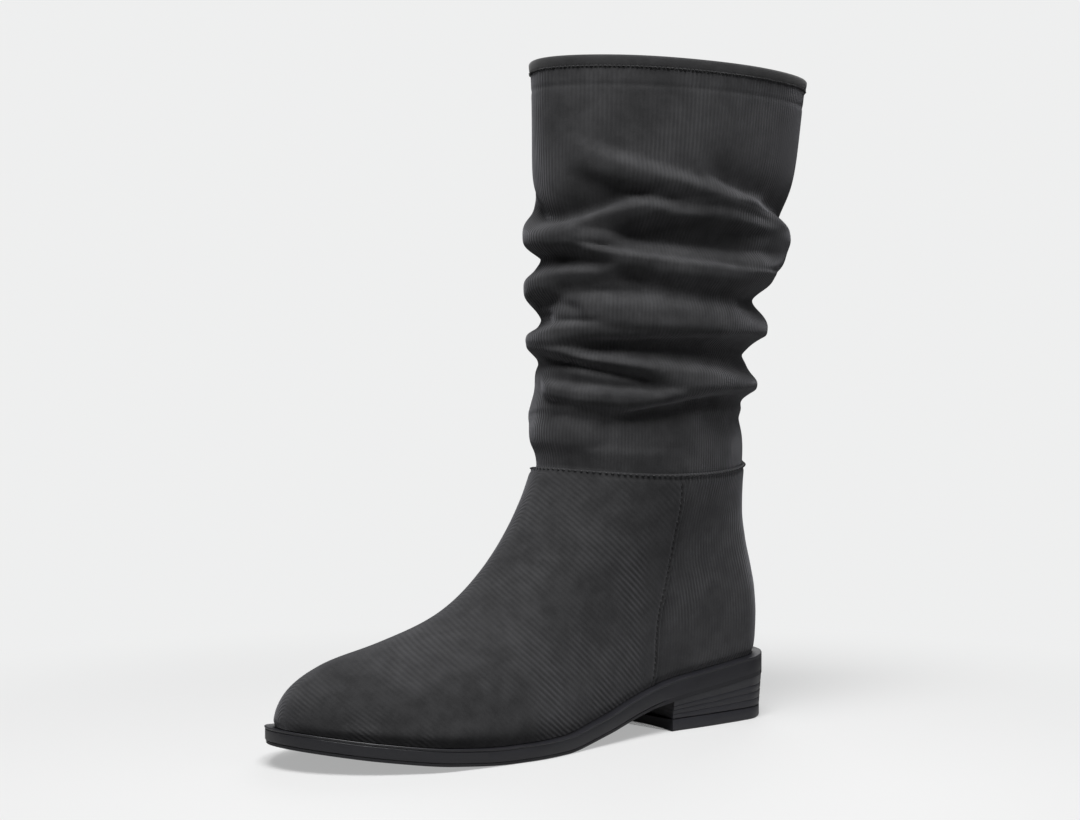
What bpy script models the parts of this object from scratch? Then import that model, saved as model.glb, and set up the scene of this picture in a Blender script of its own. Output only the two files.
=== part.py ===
"""A pull-on slouch boot for the left foot, built up from the pieces that a maker assembles.

Metres, +X towards the toe, +Y towards the outer (lateral) side, +Z up. The origin is on the floor under the
middle of the heel. Stations run along the sole from its back end. A bearing turns around the boot: 0 degrees
at the back, 90 on the outer side, 180 at the front and 270 on the inner side.
"""

import bpy
import numpy as np

# Sole and heel
SOLE_LENGTH = 0.266
BALL_WIDTH = 0.092
HEEL_WIDTH = 0.065
TOE_SWING = 0.009
SEAT_THICKNESS = 0.0095
TOE_THICKNESS = 0.0072
TOE_SPRING = 0.0095
SEAT_HEIGHT = 0.0305
HEEL_LENGTH = 0.0765
BREAST_CURVE = 0.006
HEEL_TAPER = 0.0010
TOP_PIECE_THICKNESS = 0.0055
GROOVES = (0.25, 0.49, 0.72)
GROOVE_DEPTH = 0.0005
GROOVE_HALF = 0.0005
WELT_STEP = 0.0006
FEATHER_INSET = 0.0035
INSOLE_THICKNESS = 0.003
INSOLE_GAP = 0.0012

# Foot, ankle and shaft
WALL = 0.0018
FOOT_BULGE = 0.03
BULGE_TOP = 0.3
BACK_PULL = 0.04
CLIMB_POWER = 2.2
ROUND_POWER = 0.55
SEAM_STEP = 0.0008
SEAM_TURN = 0.006
SEAM_ANKLE_BEARING = 99.0
SEAM_FEATHER_BEARING = 69.0
SEAM_BOW = 7.6
ANKLE_HEIGHT = 0.121
ANKLE_BACK = 0.009
ANKLE_LENGTH = 0.116
ANKLE_WIDTH = 0.078
ANKLE_DIP = 0.004
DIP_TOP = 0.25
SHAFT_HEIGHT = 0.182
COLLAR_LENGTH = 0.155
COLLAR_WIDTH = 0.094
COLLAR_AHEAD = 0.002
COLLAR_FALL = 0.003
FALL_START = 0.6
FOLD_DEPTH = 0.0075
FOLD_RUN_OUT = 0.6
FOLD_START_UP = 0.06

# Collar binding
BINDING_HEIGHT = 0.0055
BINDING_THICKNESS = 0.0009

# Fit between neighbours
CLEARANCE = 0.0003

# Mesh fineness
AROUND = 44
FOOT_RINGS = 15
FOLDED_RINGS = 29
FOLDED_LOW = 0.08
FOLDED_HIGH = 0.84
UPPER_RINGS = (0.90, 0.95, 1.0)
INSTEP_POINTS = 200
HEEL_SIDE_POINTS = 14
SHARP_ANGLE = 40.0


def named(columns, rows):
    """A table as a dict from each column's name to its values, top row first."""
    return dict(zip(columns.split(), np.array(rows, float).T))


# Half widths of the sole at turns from its back (0) to its tip (1), as shares of the local width
OUTLINE = named(
    "turn lateral medial",
    [
        (0.0, 0.000, 0.000),
        (0.1, 0.306, 0.306),
        (0.2, 0.490, 0.490),
        (0.3, 0.505, 0.500),
        (0.4, 0.485, 0.420),
        (0.5, 0.480, 0.385),
        (0.6, 0.515, 0.450),
        (0.7, 0.510, 0.465),
        (0.8, 0.405, 0.370),
        (0.9, 0.218, 0.200),
        (1.0, 0.000, 0.000),
    ],
)

# Height of the sole's underside: shares of the heel's rise and of the toe spring, at stations along it
UNDERSIDE = named(
    "station rise spring",
    [
        (0.00, 1.00, 0.00),
        (0.06, 0.97, 0.00),
        (0.18, 0.82, 0.00),
        (0.28, 0.67, 0.00),
        (0.37, 0.46, 0.00),
        (0.46, 0.20, 0.00),
        (0.57, 0.00, 0.00),
        (0.69, 0.00, 0.00),
        (0.80, 0.00, 0.20),
        (0.90, 0.00, 0.55),
        (1.00, 0.00, 1.00),
    ],
)

# The foot's profile from the feather line (level 0) to the ankle (level 1): where its back and its front stand,
# as stations in shares of the sole's length and heights in shares of the rise from the sole to the ankle. The
# oval share is how far the ring there has turned from the sole's outline into the ankle's oval.
PROFILE = named(
    "level back back_up front front_up oval",
    [
        (0.00, 0.013, 0.000, 0.987, 0.000, 0.00),
        (0.08, 0.006, 0.084, 0.978, 0.100, 0.00),
        (0.20, 0.004, 0.198, 0.953, 0.181, 0.00),
        (0.32, 0.008, 0.331, 0.890, 0.279, 0.05),
        (0.45, 0.018, 0.452, 0.782, 0.363, 0.15),
        (0.60, 0.034, 0.612, 0.658, 0.478, 0.30),
        (0.75, 0.040, 0.746, 0.570, 0.652, 0.55),
        (0.90, 0.038, 0.893, 0.498, 0.869, 0.85),
        (1.00, 0.034, 1.000, 0.470, 1.000, 1.00),
    ],
)

# The shaft before it slouches: how far it has opened from the ankle to the collar, at shares of its height
SHAFT = named(
    "up back front width",
    [
        (0.00, 0.00, 0.00, 0.00),
        (0.12, 0.02, 0.10, 0.12),
        (0.35, 0.20, 0.30, 0.40),
        (0.55, 0.50, 0.40, 0.65),
        (0.75, 0.80, 0.70, 0.85),
        (1.00, 1.00, 1.00, 1.00),
    ],
)

# Folds as strokes around the shaft: each runs from a start to an end bearing, at heights given for its start, its
# middle and its end. Heights and the spreads below and above the crest are shares of the shaft's height. Out and
# lift are shares of the fold depth: out is how far the skin stands out (a trough is negative) and lift how far its
# crest leans upwards.
FOLDS = named(
    "start start_z middle_z end end_z below above out lift",
    [
        (100, 0.655, 0.572, 265, 0.575, 0.028, 0.026, 0.55, 0.20),
        (88, 0.585, 0.642, 162, 0.590, 0.028, 0.026, 0.40, 0.10),
        (120, 0.690, 0.618, 265, 0.620, 0.026, 0.034, -0.45, 0.00),
        (5, 0.555, 0.655, 175, 0.800, 0.034, 0.032, 0.55, 0.00),
        (55, 0.600, 0.635, 165, 0.690, 0.026, 0.027, -0.45, 0.00),
        (40, 0.530, 0.545, 165, 0.588, 0.026, 0.036, -0.60, 0.00),
        (20, 0.485, 0.495, 182, 0.565, 0.028, 0.026, 0.50, 0.10),
        (-60, 0.500, 0.535, 95, 0.500, 0.050, 0.050, 0.85, 0.00),
        (-50, 0.430, 0.417, 82, 0.405, 0.026, 0.026, -0.60, 0.00),
        (132, 0.492, 0.530, 245, 0.490, 0.026, 0.026, -0.55, 0.00),
        (120, 0.490, 0.458, 255, 0.435, 0.026, 0.026, 0.50, 0.10),
        (115, 0.470, 0.447, 182, 0.422, 0.026, 0.026, -0.45, 0.00),
        (-35, 0.355, 0.362, 190, 0.425, 0.028, 0.036, 0.64, 0.00),
        (170, 0.375, 0.358, 262, 0.362, 0.026, 0.026, -0.50, 0.00),
        (126, 0.370, 0.325, 264, 0.300, 0.028, 0.026, 0.48, 0.10),
        (5, 0.335, 0.342, 176, 0.325, 0.026, 0.027, 0.45, -0.10),
        (-10, 0.250, 0.287, 176, 0.300, 0.026, 0.026, -0.60, 0.00),
        (-20, 0.195, 0.226, 190, 0.290, 0.026, 0.026, 0.58, 0.00),
        (108, 0.198, 0.242, 198, 0.270, 0.026, 0.026, -0.45, 0.00),
        (172, 0.262, 0.262, 258, 0.255, 0.026, 0.026, -0.50, 0.00),
        (90, 0.205, 0.184, 194, 0.215, 0.026, 0.026, 0.42, 0.00),
        (5, 0.180, 0.200, 146, 0.135, 0.026, 0.026, 0.40, -0.10),
        (10, 0.150, 0.172, 150, 0.112, 0.026, 0.026, -0.45, 0.00),
        (140, 0.100, 0.100, 280, 0.100, 0.055, 0.055, 0.42, 0.00),
        (215, 0.600, 0.640, 380, 0.620, 0.036, 0.036, 0.60, 0.00),
        (205, 0.500, 0.485, 375, 0.470, 0.026, 0.026, -0.45, 0.00),
        (210, 0.430, 0.395, 360, 0.400, 0.030, 0.030, 0.55, 0.00),
        (215, 0.350, 0.340, 370, 0.330, 0.026, 0.026, -0.45, 0.00),
        (215, 0.290, 0.270, 365, 0.250, 0.028, 0.028, 0.50, 0.00),
        (220, 0.235, 0.218, 350, 0.200, 0.026, 0.026, -0.40, 0.00),
        (230, 0.170, 0.165, 355, 0.160, 0.030, 0.030, 0.35, 0.00),
    ],
)

# The sole's section: how far its edge is set in, at shares of its thickness
SOLE_EDGE = named(
    "inset share",
    [
        (WELT_STEP, 0.00),
        (WELT_STEP / 2, 0.16),
        (0.0, 0.20),
        (0.0, 0.86),
        (WELT_STEP, 1.00),
    ],
)


def soft_curve(knots, values, at):
    """A smooth curve through the knots that never swings past them, read at the places asked for."""
    step = np.diff(knots)
    rise = np.diff(values) / step
    slope = np.concatenate([rise[:1], np.zeros(len(rise) - 1), rise[-1:]])
    turns_on = rise[:-1] * rise[1:] > 0
    before = np.where(turns_on, rise[:-1], 1.0)
    after = np.where(turns_on, rise[1:], 1.0)
    near = 2 * step[1:] + step[:-1]
    far = step[1:] + 2 * step[:-1]
    slope[1:-1] = np.where(turns_on, (near + far) / (near / before + far / after), 0.0)
    cell = np.clip(np.searchsorted(knots, at) - 1, 0, len(step) - 1)
    t = np.clip((at - knots[cell]) / step[cell], 0.0, 1.0)
    return (
        values[cell] * (1 + 2 * t) * (1 - t) ** 2
        + values[cell + 1] * t**2 * (3 - 2 * t)
        + step[cell] * (slope[cell] * t * (1 - t) ** 2 - slope[cell + 1] * t**2 * (1 - t))
    )


def ease(low, high, at):
    """Runs smoothly from 0 at low to 1 at high."""
    t = np.clip((at - low) / (high - low), 0.0, 1.0)
    return t * t * (3 - 2 * t)


def swing(station):
    """How far the sole's middle line has swung to the inner side, at a station in metres."""
    past_waist = np.clip((station / SOLE_LENGTH - 0.55) / 0.45, 0.0, None)
    return TOE_SWING * past_waist**1.5


def underside(station):
    """Height of the sole's underside above the floor."""
    at = station / SOLE_LENGTH
    heel_rise = SEAT_HEIGHT - SEAT_THICKNESS
    return heel_rise * soft_curve(UNDERSIDE["station"], UNDERSIDE["rise"], at) + TOE_SPRING * soft_curve(
        UNDERSIDE["station"], UNDERSIDE["spring"], at
    )


def thickness(station):
    """Thickness of the sole, which thins from its seat to its tip."""
    return SEAT_THICKNESS + (TOE_THICKNESS - SEAT_THICKNESS) * ease(0.25, 0.65, station / SOLE_LENGTH)


def sole_top(station):
    """Height of the sole's top face above the floor."""
    return underside(station) + thickness(station)


def raw_outline(bearing):
    """The sole's outline at bearings in radians: a half width on each side of a line that swings in at the toe."""
    turn = 1 - np.abs(1 - np.mod(bearing, 2 * np.pi) / np.pi)
    share = (1 - np.cos(bearing)) / 2
    width = HEEL_WIDTH + (BALL_WIDTH - HEEL_WIDTH) * ease(0.25, 0.65, share)
    lateral = soft_curve(OUTLINE["turn"], OUTLINE["lateral"], turn)
    medial = soft_curve(OUTLINE["turn"], OUTLINE["medial"], turn)
    half = np.where(np.sin(bearing) >= 0, lateral, -medial) * width
    station = SOLE_LENGTH * share
    return station, half - swing(station)


def outline(bearing, inset):
    """The sole's outline moved inwards by a distance, square to its edge."""
    reach = 0.02
    x, y = raw_outline(bearing)
    x_after, y_after = raw_outline(bearing + reach)
    x_before, y_before = raw_outline(bearing - reach)
    dx, dy = x_after - x_before, y_after - y_before
    length = np.hypot(dx, dy)
    return x + inset * dy / length, y - inset * dx / length


def risen(station, up):
    """Height at a station, for a share of the rise from the sole's top to the ankle."""
    return sole_top(station) + up * (ANKLE_HEIGHT - sole_top(station))


def instep_line():
    """Stations and heights of the foot's front profile, carried on steeply above the ankle."""
    level = np.linspace(0.0, 1.0, INSTEP_POINTS)
    x = SOLE_LENGTH * soft_curve(PROFILE["level"], PROFILE["front"], level)
    z = risen(x, soft_curve(PROFILE["level"], PROFILE["front_up"], level))
    return np.append(x, 0.0)[::-1], np.append(z, 4 * ANKLE_HEIGHT)[::-1]


def half_width(station, side):
    """The foot's half width over the feather line at a station, on the outer (+1) or inner (-1) side."""
    bearing = np.linspace(0.0, np.pi, 361)
    x, y = outline(bearing if side > 0 else 2 * np.pi - bearing, FEATHER_INSET)
    return np.interp(station, x, np.abs(y + swing(x)))


def foot_skin(bearing, level):
    """Points of the foot's outer skin: rings that fan from the feather line up to the ankle."""
    row = {name: soft_curve(PROFILE["level"], values, level) for name, values in PROFILE.items()}
    back, front = outline(np.array([0.0, np.pi]), FEATHER_INSET)[0]
    ring_back, ring_front = SOLE_LENGTH * row["back"], SOLE_LENGTH * row["front"]
    along = (outline(bearing, FEATHER_INSET)[0] - back) / (front - back)
    share = along + row["oval"] * ((1 - np.cos(bearing)) / 2 - along)
    x = ring_back + (ring_front - ring_back) * share
    back_z, front_z = risen(ring_back, row["back_up"]), risen(ring_front, row["front_up"])
    sag = sole_top(x) - sole_top(ring_back) - (sole_top(ring_front) - sole_top(ring_back)) * share
    z = back_z + (front_z - back_z) * share + sag * (1 - level)
    ridge = np.interp(x, *instep_line())
    room = np.maximum(ridge - sole_top(x), CLEARANCE)
    climb = np.clip((z - sole_top(x)) / room, 0.0, 1.0)
    pulled = x - (ring_back - back) * np.exp(-(x - ring_back) / BACK_PULL)
    side = np.where(np.sin(bearing) >= 0, half_width(pulled, 1), half_width(pulled, -1))
    bulge = 1 + FOOT_BULGE * np.sin(np.pi * np.clip(climb / BULGE_TOP, 0.0, 1.0)) ** 2
    foot_form = side * bulge * (1 - climb**CLIMB_POWER) ** ROUND_POWER
    oval_form = ANKLE_WIDTH / 2 * np.abs(np.sin(bearing))
    y = np.sign(np.sin(bearing)) * (foot_form + row["oval"] * (oval_form - foot_form)) - swing(x)
    return np.stack([x, y, z + CLEARANCE - ANKLE_DIP * level**3 * np.sin(bearing) ** 2], axis=-1)


def fold_push(bearing, up):
    """How far the folds push the shaft's skin outwards and upwards, in metres."""
    degrees = np.degrees(bearing)
    ridges = np.zeros(np.broadcast(bearing, up).shape)
    troughs, lift = ridges.copy(), ridges.copy()
    for start, start_z, middle_z, end, end_z, below, above, push, lean in zip(*FOLDS.values()):
        t = (np.mod(degrees - (start + end) / 2 + 180, 360) - 180) / ((end - start) / 2)
        held = np.clip(t, -1, 1)
        centre = middle_z + (end_z - start_z) / 2 * held + ((start_z + end_z) / 2 - middle_z) * held**2
        spread = np.where(up > centre, above, below)
        run = 1 - ease(FOLD_RUN_OUT, 1.0, np.abs(t))
        crest = np.exp(-0.5 * ((up - centre) / spread) ** 2) * run * ease(0.0, FOLD_START_UP, up)
        ridges += (max(push, 0) * crest) ** 3
        troughs += (max(-push, 0) * crest) ** 3
        lift += lean * crest
    return FOLD_DEPTH * (np.cbrt(ridges) - np.cbrt(troughs)), FOLD_DEPTH * lift


def shaft_skin(bearing, up):
    """Points of the shaft's outer skin: an oval that opens from ankle to collar, pushed out by its folds."""
    tight = WALL + CLEARANCE
    opened = {name: soft_curve(SHAFT["up"], values, up) for name, values in SHAFT.items()}
    ankle_back, ankle_front = ANKLE_BACK + tight, ANKLE_BACK + ANKLE_LENGTH - tight
    collar_front = ankle_front + COLLAR_AHEAD
    collar_back = collar_front - COLLAR_LENGTH
    back = ankle_back + (collar_back - ankle_back) * opened["back"]
    front = ankle_front + (collar_front - ankle_front) * opened["front"]
    half = ANKLE_WIDTH / 2 - tight + (COLLAR_WIDTH / 2 - ANKLE_WIDTH / 2 + tight) * opened["width"]
    out, lift = fold_push(bearing, up)
    reach = (front - back) / 2
    normal_x, normal_y = -half * np.cos(bearing), reach * np.sin(bearing)
    length = np.hypot(normal_x, normal_y)
    x = (front + back) / 2 - reach * np.cos(bearing) + out * normal_x / length
    y = half * np.sin(bearing) + out * normal_y / length
    dip = ANKLE_DIP * np.sin(bearing) ** 2 * (1 - ease(0.0, DIP_TOP, up))
    fall = COLLAR_FALL * ease(FALL_START, 1.0, up) * (1 + np.cos(bearing)) / 2
    z = ANKLE_HEIGHT + CLEARANCE + up * SHAFT_HEIGHT + lift - dip - fall
    return np.stack([x, y, z], axis=-1)


def placed(points):
    """Points moved from stations along the sole to the boot's own origin."""
    return points - np.array([HEEL_LENGTH / 2, 0.0, 0.0])


def normals(skin):
    """Unit normals that face out of a skin of closed rings, lowest ring first."""
    around = np.roll(skin, -1, axis=1) - np.roll(skin, 1, axis=1)
    upwards = np.gradient(skin, axis=0)
    across = np.cross(upwards, around)
    return across / np.linalg.norm(across, axis=-1, keepdims=True)


def lining(skin, depth):
    """The inner face of a wall: the skin moved inwards, with its first and last rings kept level with it."""
    inner = skin - depth * normals(skin)
    inner[0, :, 2] = skin[0, :, 2]
    inner[-1, :, 2] = skin[-1, :, 2]
    return inner


def material(name, colour, roughness):
    """A plain surface of one colour."""
    made = bpy.data.materials.new(name)
    made.use_nodes = True
    surface = made.node_tree.nodes["Principled BSDF"]
    surface.inputs["Base Color"].default_value = (*colour, 1.0)
    surface.inputs["Roughness"].default_value = roughness
    return made


def build(name, points, faces, finish):
    """One named object from points in station space."""
    mesh = bpy.data.meshes.new(name)
    mesh.from_pydata(placed(points).tolist(), [], faces)
    mesh.materials.append(finish)
    mesh.shade_smooth()
    mesh.set_sharp_from_angle(angle=np.radians(SHARP_ANGLE))
    made = bpy.data.objects.new(name, mesh)
    bpy.context.scene.collection.objects.link(made)
    return made


def bearings(count):
    """Even bearings around the boot, in radians."""
    return np.arange(count) * 2 * np.pi / count


def ring_faces(rings, around, closed):
    """Quads between neighbouring rings of points, counted from the lowest ring up, facing outwards."""
    last = rings if closed else rings - 1
    return [
        (
            ring * around + (i + 1) % around,
            ring * around + i,
            (ring + 1) % rings * around + i,
            (ring + 1) % rings * around + (i + 1) % around,
        )
        for ring in range(last)
        for i in range(around)
    ]


def ladder(first, around, upwards):
    """A cap across a ring whose two sides mirror each other, as rungs from its back to its front."""
    rungs = []
    for i in range(around // 2):
        corners = [first + i, first + i + 1, first + around - i - 1, first + (around - i) % around]
        corners = list(dict.fromkeys(corners))
        rungs.append(tuple(reversed(corners)) if upwards else tuple(corners))
    return rungs


def tube(name, rings, finish):
    """A closed band from rings of points that run once round its section."""
    count, around = len(rings), len(rings[0])
    return build(name, np.concatenate(rings), ring_faces(count, around, True), finish)


def stacked(name, rings, finish):
    """A solid piece from rings of points, lowest first, closed by a ladder above and below."""
    count, around = len(rings), len(rings[0])
    caps = ladder(0, around, False) + ladder((count - 1) * around, around, True)
    return build(name, np.concatenate(rings), ring_faces(count, around, False) + caps, finish)


def outline_ring(bearing, inset, height):
    """A ring on the sole's outline, moved in by the inset, at the height that a function gives for its station."""
    x, y = outline(bearing, inset)
    return np.stack([x, y, height(x)], axis=-1)


def columns(level):
    """Bearings of a ring's points, drawn so that one column on each side follows the side seam."""
    even = bearings(AROUND)[: AROUND // 2 + 1]
    middle = AROUND // 4
    straight = SEAM_FEATHER_BEARING + (SEAM_ANKLE_BEARING - SEAM_FEATHER_BEARING) * level
    seam = np.radians(straight - 4 * SEAM_BOW * level * (1 - level))
    before = even[:middle] / even[middle] * seam
    after = np.pi - (np.pi - even[middle:]) / (np.pi - even[middle]) * (np.pi - seam)
    half = np.concatenate([before, after], axis=-1)
    return np.concatenate([half, 2 * np.pi - half[..., -2:0:-1]], axis=-1)


def foot_upper(finish):
    """Vamp and back quarter as one shell: behind each side seam its outer face steps in under the vamp."""
    levels = np.linspace(0.0, 1.0, FOOT_RINGS)[:, None]
    bearing = columns(levels)
    outer_seam, inner_seam = AROUND // 4, AROUND - AROUND // 4
    for seam in (inner_seam, outer_seam):
        pair = bearing[:, seam : seam + 1] + SEAM_TURN * np.array([-1.0, 1.0])
        bearing = np.concatenate([bearing[:, :seam], pair, bearing[:, seam + 1 :]], axis=1)
    skin = foot_skin(bearing, levels)
    inner = lining(skin, WALL)
    behind = np.r_[0 : outer_seam + 1, inner_seam + 2 : AROUND + 2]
    skin[:, behind] -= SEAM_STEP * normals(skin)[:, behind]
    skin[[0, -1], :, 2] = inner[[0, -1], :, 2]
    return tube("foot_upper", [*skin, *inner[::-1]], finish)


def shaft_levels():
    """Shares of the shaft's height for its rings, set closer where the folds lie."""
    folded = np.linspace(FOLDED_LOW, FOLDED_HIGH, FOLDED_RINGS)
    return np.concatenate([[0.0, FOLDED_LOW / 2], folded, UPPER_RINGS])[:, None]


def shaft(finish):
    """The slouched leg, with its lower end tucked into the ankle."""
    bearing = columns(1.0)[None, :]
    levels = np.linspace(0.0, 1.0, FOOT_RINGS)[:, None]
    tucked = lining(foot_skin(columns(levels), levels), WALL + 2 * CLEARANCE)[-2:-1]
    skin = np.concatenate([tucked, shaft_skin(bearing, shaft_levels())])
    return tube("shaft", [*skin, *lining(skin, WALL)[::-1]], finish)


def collar_binding(finish):
    """A strip folded over the shaft's top edge."""
    ups = np.array([1.0 - BINDING_HEIGHT / SHAFT_HEIGHT, 1.0])[:, None]
    low, high = shaft_skin(columns(1.0)[None, :], ups)
    out = normals(np.stack([low, high]))[0]
    out[:, 2] = 0.0
    top = np.array([0.0, 0.0, 1.0])
    reach = CLEARANCE + BINDING_THICKNESS
    rings = [
        high + out * CLEARANCE + top * CLEARANCE,
        low + out * CLEARANCE,
        low + out * reach,
        high + out * reach + top * reach,
        high - out * (WALL + reach) + top * reach,
        low - out * (WALL + reach),
        low - out * (WALL + CLEARANCE),
        high - out * (WALL + CLEARANCE) + top * CLEARANCE,
    ]
    return tube("collar_binding", rings, finish)


def outsole(finish):
    """The sole unit, with a thin lip along its top edge and a step above its tread."""
    bearing = columns(0.0)
    rings = [
        outline_ring(bearing, inset, lambda x, share=share: underside(x) + share * thickness(x))
        for inset, share in zip(*SOLE_EDGE.values())
    ]
    return stacked("outsole", rings, finish)


def heel_ring(share, inset):
    """A ring of the heel, from its top (share 1) to the top piece (share 0), closed across its breast."""
    corner = np.arccos(1 - 2 * HEEL_LENGTH / SOLE_LENGTH)
    side = np.linspace(0.0, corner, HEEL_SIDE_POINTS)
    reach = inset + HEEL_TAPER * (1 - share) + WELT_STEP
    x, y = outline(side, reach)
    across = np.linspace(1.0, 0.0, 4)[1:]
    y = np.append(y, y[-1] * across)
    x = np.append(x, HEEL_LENGTH - BREAST_CURVE * (1 - across**2))
    top = underside(x) - CLEARANCE
    low = TOP_PIECE_THICKNESS + CLEARANCE
    half = np.stack([x, y, low + (top - low) * share], axis=-1)
    return np.concatenate([half, (half * [1, -1, 1])[-2:0:-1]])


def heel_block(finish):
    """The heel block, with fanned grooves round its side."""
    rise = SEAT_HEIGHT - SEAT_THICKNESS - TOP_PIECE_THICKNESS
    rings = [heel_ring(0.0, 0.0)]
    for groove in GROOVES:
        slack = GROOVE_HALF / rise
        rings += [heel_ring(groove - slack, 0.0), heel_ring(groove, GROOVE_DEPTH), heel_ring(groove + slack, 0.0)]
    return stacked("heel_block", rings + [heel_ring(1.0, 0.0)], finish)


def heel_top_piece(finish):
    """The wearing layer under the heel."""
    rings = [heel_ring(0.0, 0.0) * [1, 1, 0] + [0, 0, z] for z in (0.0, TOP_PIECE_THICKNESS)]
    return stacked("heel_top_piece", rings, finish)


def insole(finish):
    """The sock that lies on the sole inside the foot."""
    inset = FEATHER_INSET + WALL + INSOLE_GAP
    rings = [
        outline_ring(columns(0.0), inset, lambda x, rise=rise: sole_top(x) + rise)
        for rise in (CLEARANCE, CLEARANCE + INSOLE_THICKNESS)
    ]
    return stacked("insole", rings, finish)


def main():
    for old in list(bpy.data.objects):
        bpy.data.objects.remove(old)
    suede = material("charcoal_suede", (0.035, 0.035, 0.036), 0.9)
    rubber = material("black_rubber", (0.02, 0.02, 0.022), 0.6)
    sock = material("black_sock", (0.02, 0.02, 0.02), 0.8)
    foot_upper(suede)
    shaft(suede)
    collar_binding(suede)
    outsole(rubber)
    heel_block(rubber)
    heel_top_piece(rubber)
    insole(sock)


main()
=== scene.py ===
"""The looks of a pull-on slouch boot for the left foot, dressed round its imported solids.

Metres, +X towards the toe, +Y towards the outer side, +Z up, with the origin on the floor under the middle of
the heel. Stations run along the sole from its back end. A bearing turns around the boot: 0 at the back, a
quarter turn on the outer side, a half turn at the front. Shapes are worked out in stations, and `placed` moves
them to the boot's own origin.
"""

import bpy
import numpy as np
from mathutils import Matrix, Vector


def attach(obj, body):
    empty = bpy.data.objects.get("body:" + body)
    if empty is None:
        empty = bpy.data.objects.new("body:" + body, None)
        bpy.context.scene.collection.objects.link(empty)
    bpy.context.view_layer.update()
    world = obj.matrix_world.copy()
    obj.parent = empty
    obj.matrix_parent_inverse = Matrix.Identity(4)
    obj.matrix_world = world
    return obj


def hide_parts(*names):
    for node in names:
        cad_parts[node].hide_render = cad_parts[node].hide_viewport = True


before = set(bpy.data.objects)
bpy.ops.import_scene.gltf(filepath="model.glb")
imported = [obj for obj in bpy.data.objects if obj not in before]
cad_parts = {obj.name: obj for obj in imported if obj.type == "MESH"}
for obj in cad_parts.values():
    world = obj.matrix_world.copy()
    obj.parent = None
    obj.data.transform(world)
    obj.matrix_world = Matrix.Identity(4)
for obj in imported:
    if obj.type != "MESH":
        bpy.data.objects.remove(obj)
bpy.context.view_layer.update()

bl_info = {
    "name": "Slouch boot",
    "version": (1, 0, 0),
    "blender": (4, 5, 0),
    "location": "View3D > Sidebar > Slouch boot",
    "description": "Ribbed suede boot with a slouched shaft, a thin sole and a stacked heel",
    "category": "Object",
}

# Sole and heel, with stations as shares of the sole's length
SOLE_LENGTH = 0.266
BALL_WIDTH = 0.092
HEEL_WIDTH = 0.065
WAIST = (0.25, 0.65)
TOE_SWING = 0.009
SWING_START = 0.55
SWING_POWER = 1.5
SEAT_THICKNESS = 0.0095
TOE_THICKNESS = 0.0072
TOE_SPRING = 0.0095
SEAT_HEIGHT = 0.0305
TREAD_TOP = 0.25
TREAD_RINGS = 4
TREAD_START = 0.05
BEAD_START = (0.55, 0.80)
BEAD_REACH = 0.0004
BEAD_RISE = 0.0005
HEEL_LENGTH = 0.0765
BREAST_CURVE = 0.006
HEEL_TAPER = 0.0010
HEEL_STEP = 0.0002
HEEL_GAP = 0.0001
HEEL_EDGE = ((0.0, 0.0003), (0.02, 0.0))
GROOVES = (0.25, 0.49, 0.72)
GROOVE_REACH = 0.0006
TOP_PIECE_THICKNESS = 0.0055
FEATHER_INSET = 0.0035
INSOLE_THICKNESS = 0.003
INSOLE_GAP = 0.0012

# Foot, ankle and shaft
WALL = 0.0018
FOOT_BULGE = 0.03
BULGE_TOP = 0.3
BACK_PULL = 0.15
CLIMB_POWER = 2.2
ROUND_POWER = 0.55
SEAM_STEP = 0.0008
SEAM_ANKLE_BEARING = 99.0
SEAM_FEATHER_BEARING = 69.0
SEAM_BOW = 7.6
ANKLE_HEIGHT = 0.121
ANKLE_BACK = 0.009
ANKLE_LENGTH = 0.116
ANKLE_WIDTH = 0.078
ANKLE_DIP = 0.004
DIP_TOP = 0.25
TUCK_LEVEL = 1.0 - 1.0 / 14.0
TUCK_STEPS = (0.0, 0.35, 0.7)
SHAFT_HEIGHT = 0.182
COLLAR_LENGTH = 0.155
COLLAR_WIDTH = 0.094
COLLAR_AHEAD = 0.002
COLLAR_FALL = 0.003
FALL_START = 0.6
CLEARANCE = 0.0003

# Folds and ripple of the shaft
PUFF_POWER = 3.4
CREASE_POWER = 1.6
FOLD_RUN_OUT = 0.6
FOLD_START_UP = 0.06
RIPPLE_RISE = 0.05
RIPPLE_START_UP = 0.1

# Ribs: where the shaft's are counted, and the vamp's slant and fan as vamp_ribs tells
RIBS_COUNTED_UP = 0.6
RIB_LEVEL = 0.045
RIB_AFT = (-0.78, 0.62, 0.1144)
RIB_SHARE = 0.88
RIB_FAN = 3.0
RIB_SPAN = 1.33

# Seams, stitching and binding
SEAM_EDGE = 0.35
SEAM_EDGE_RUN = 0.0008
SEAM_CROWD = 1.6
SEAM_SEARCH = 30
FACING_DROP = 0.0125
FACING_SPREAD = 0.0008
FACING_SINK = 0.00022
STITCH_INSET = 0.0021
STITCH_SINK = 0.00045
STITCH_SPREAD = 0.0007
PUFF_INSET = 0.0009
PUFF_SPREAD = 0.0005
PUFF_SHARE = 0.5
FEATHER_TUCK = 0.0006
FEATHER_RUN = 0.03
BINDING_HEIGHT = 0.0053
BINDING_THICKNESS = 0.0004
BINDING_PITCH = 0.0024
BINDING_PULL = 0.0004
BINDING_PULL_AT = 0.86
BINDING_PULL_SPREAD = 0.10
BINDING_SCALLOP = 0.0007
BINDING_STITCHED_RING = 5
BINDING_STITCH_OUT = 0.0001

# Length and radius of a stitch's thread
SEAM_THREAD = (0.0016, 0.00045)
ANKLE_THREAD = (0.0018, 0.00042)
COLLAR_THREAD = (0.0017, 0.00036)

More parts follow.
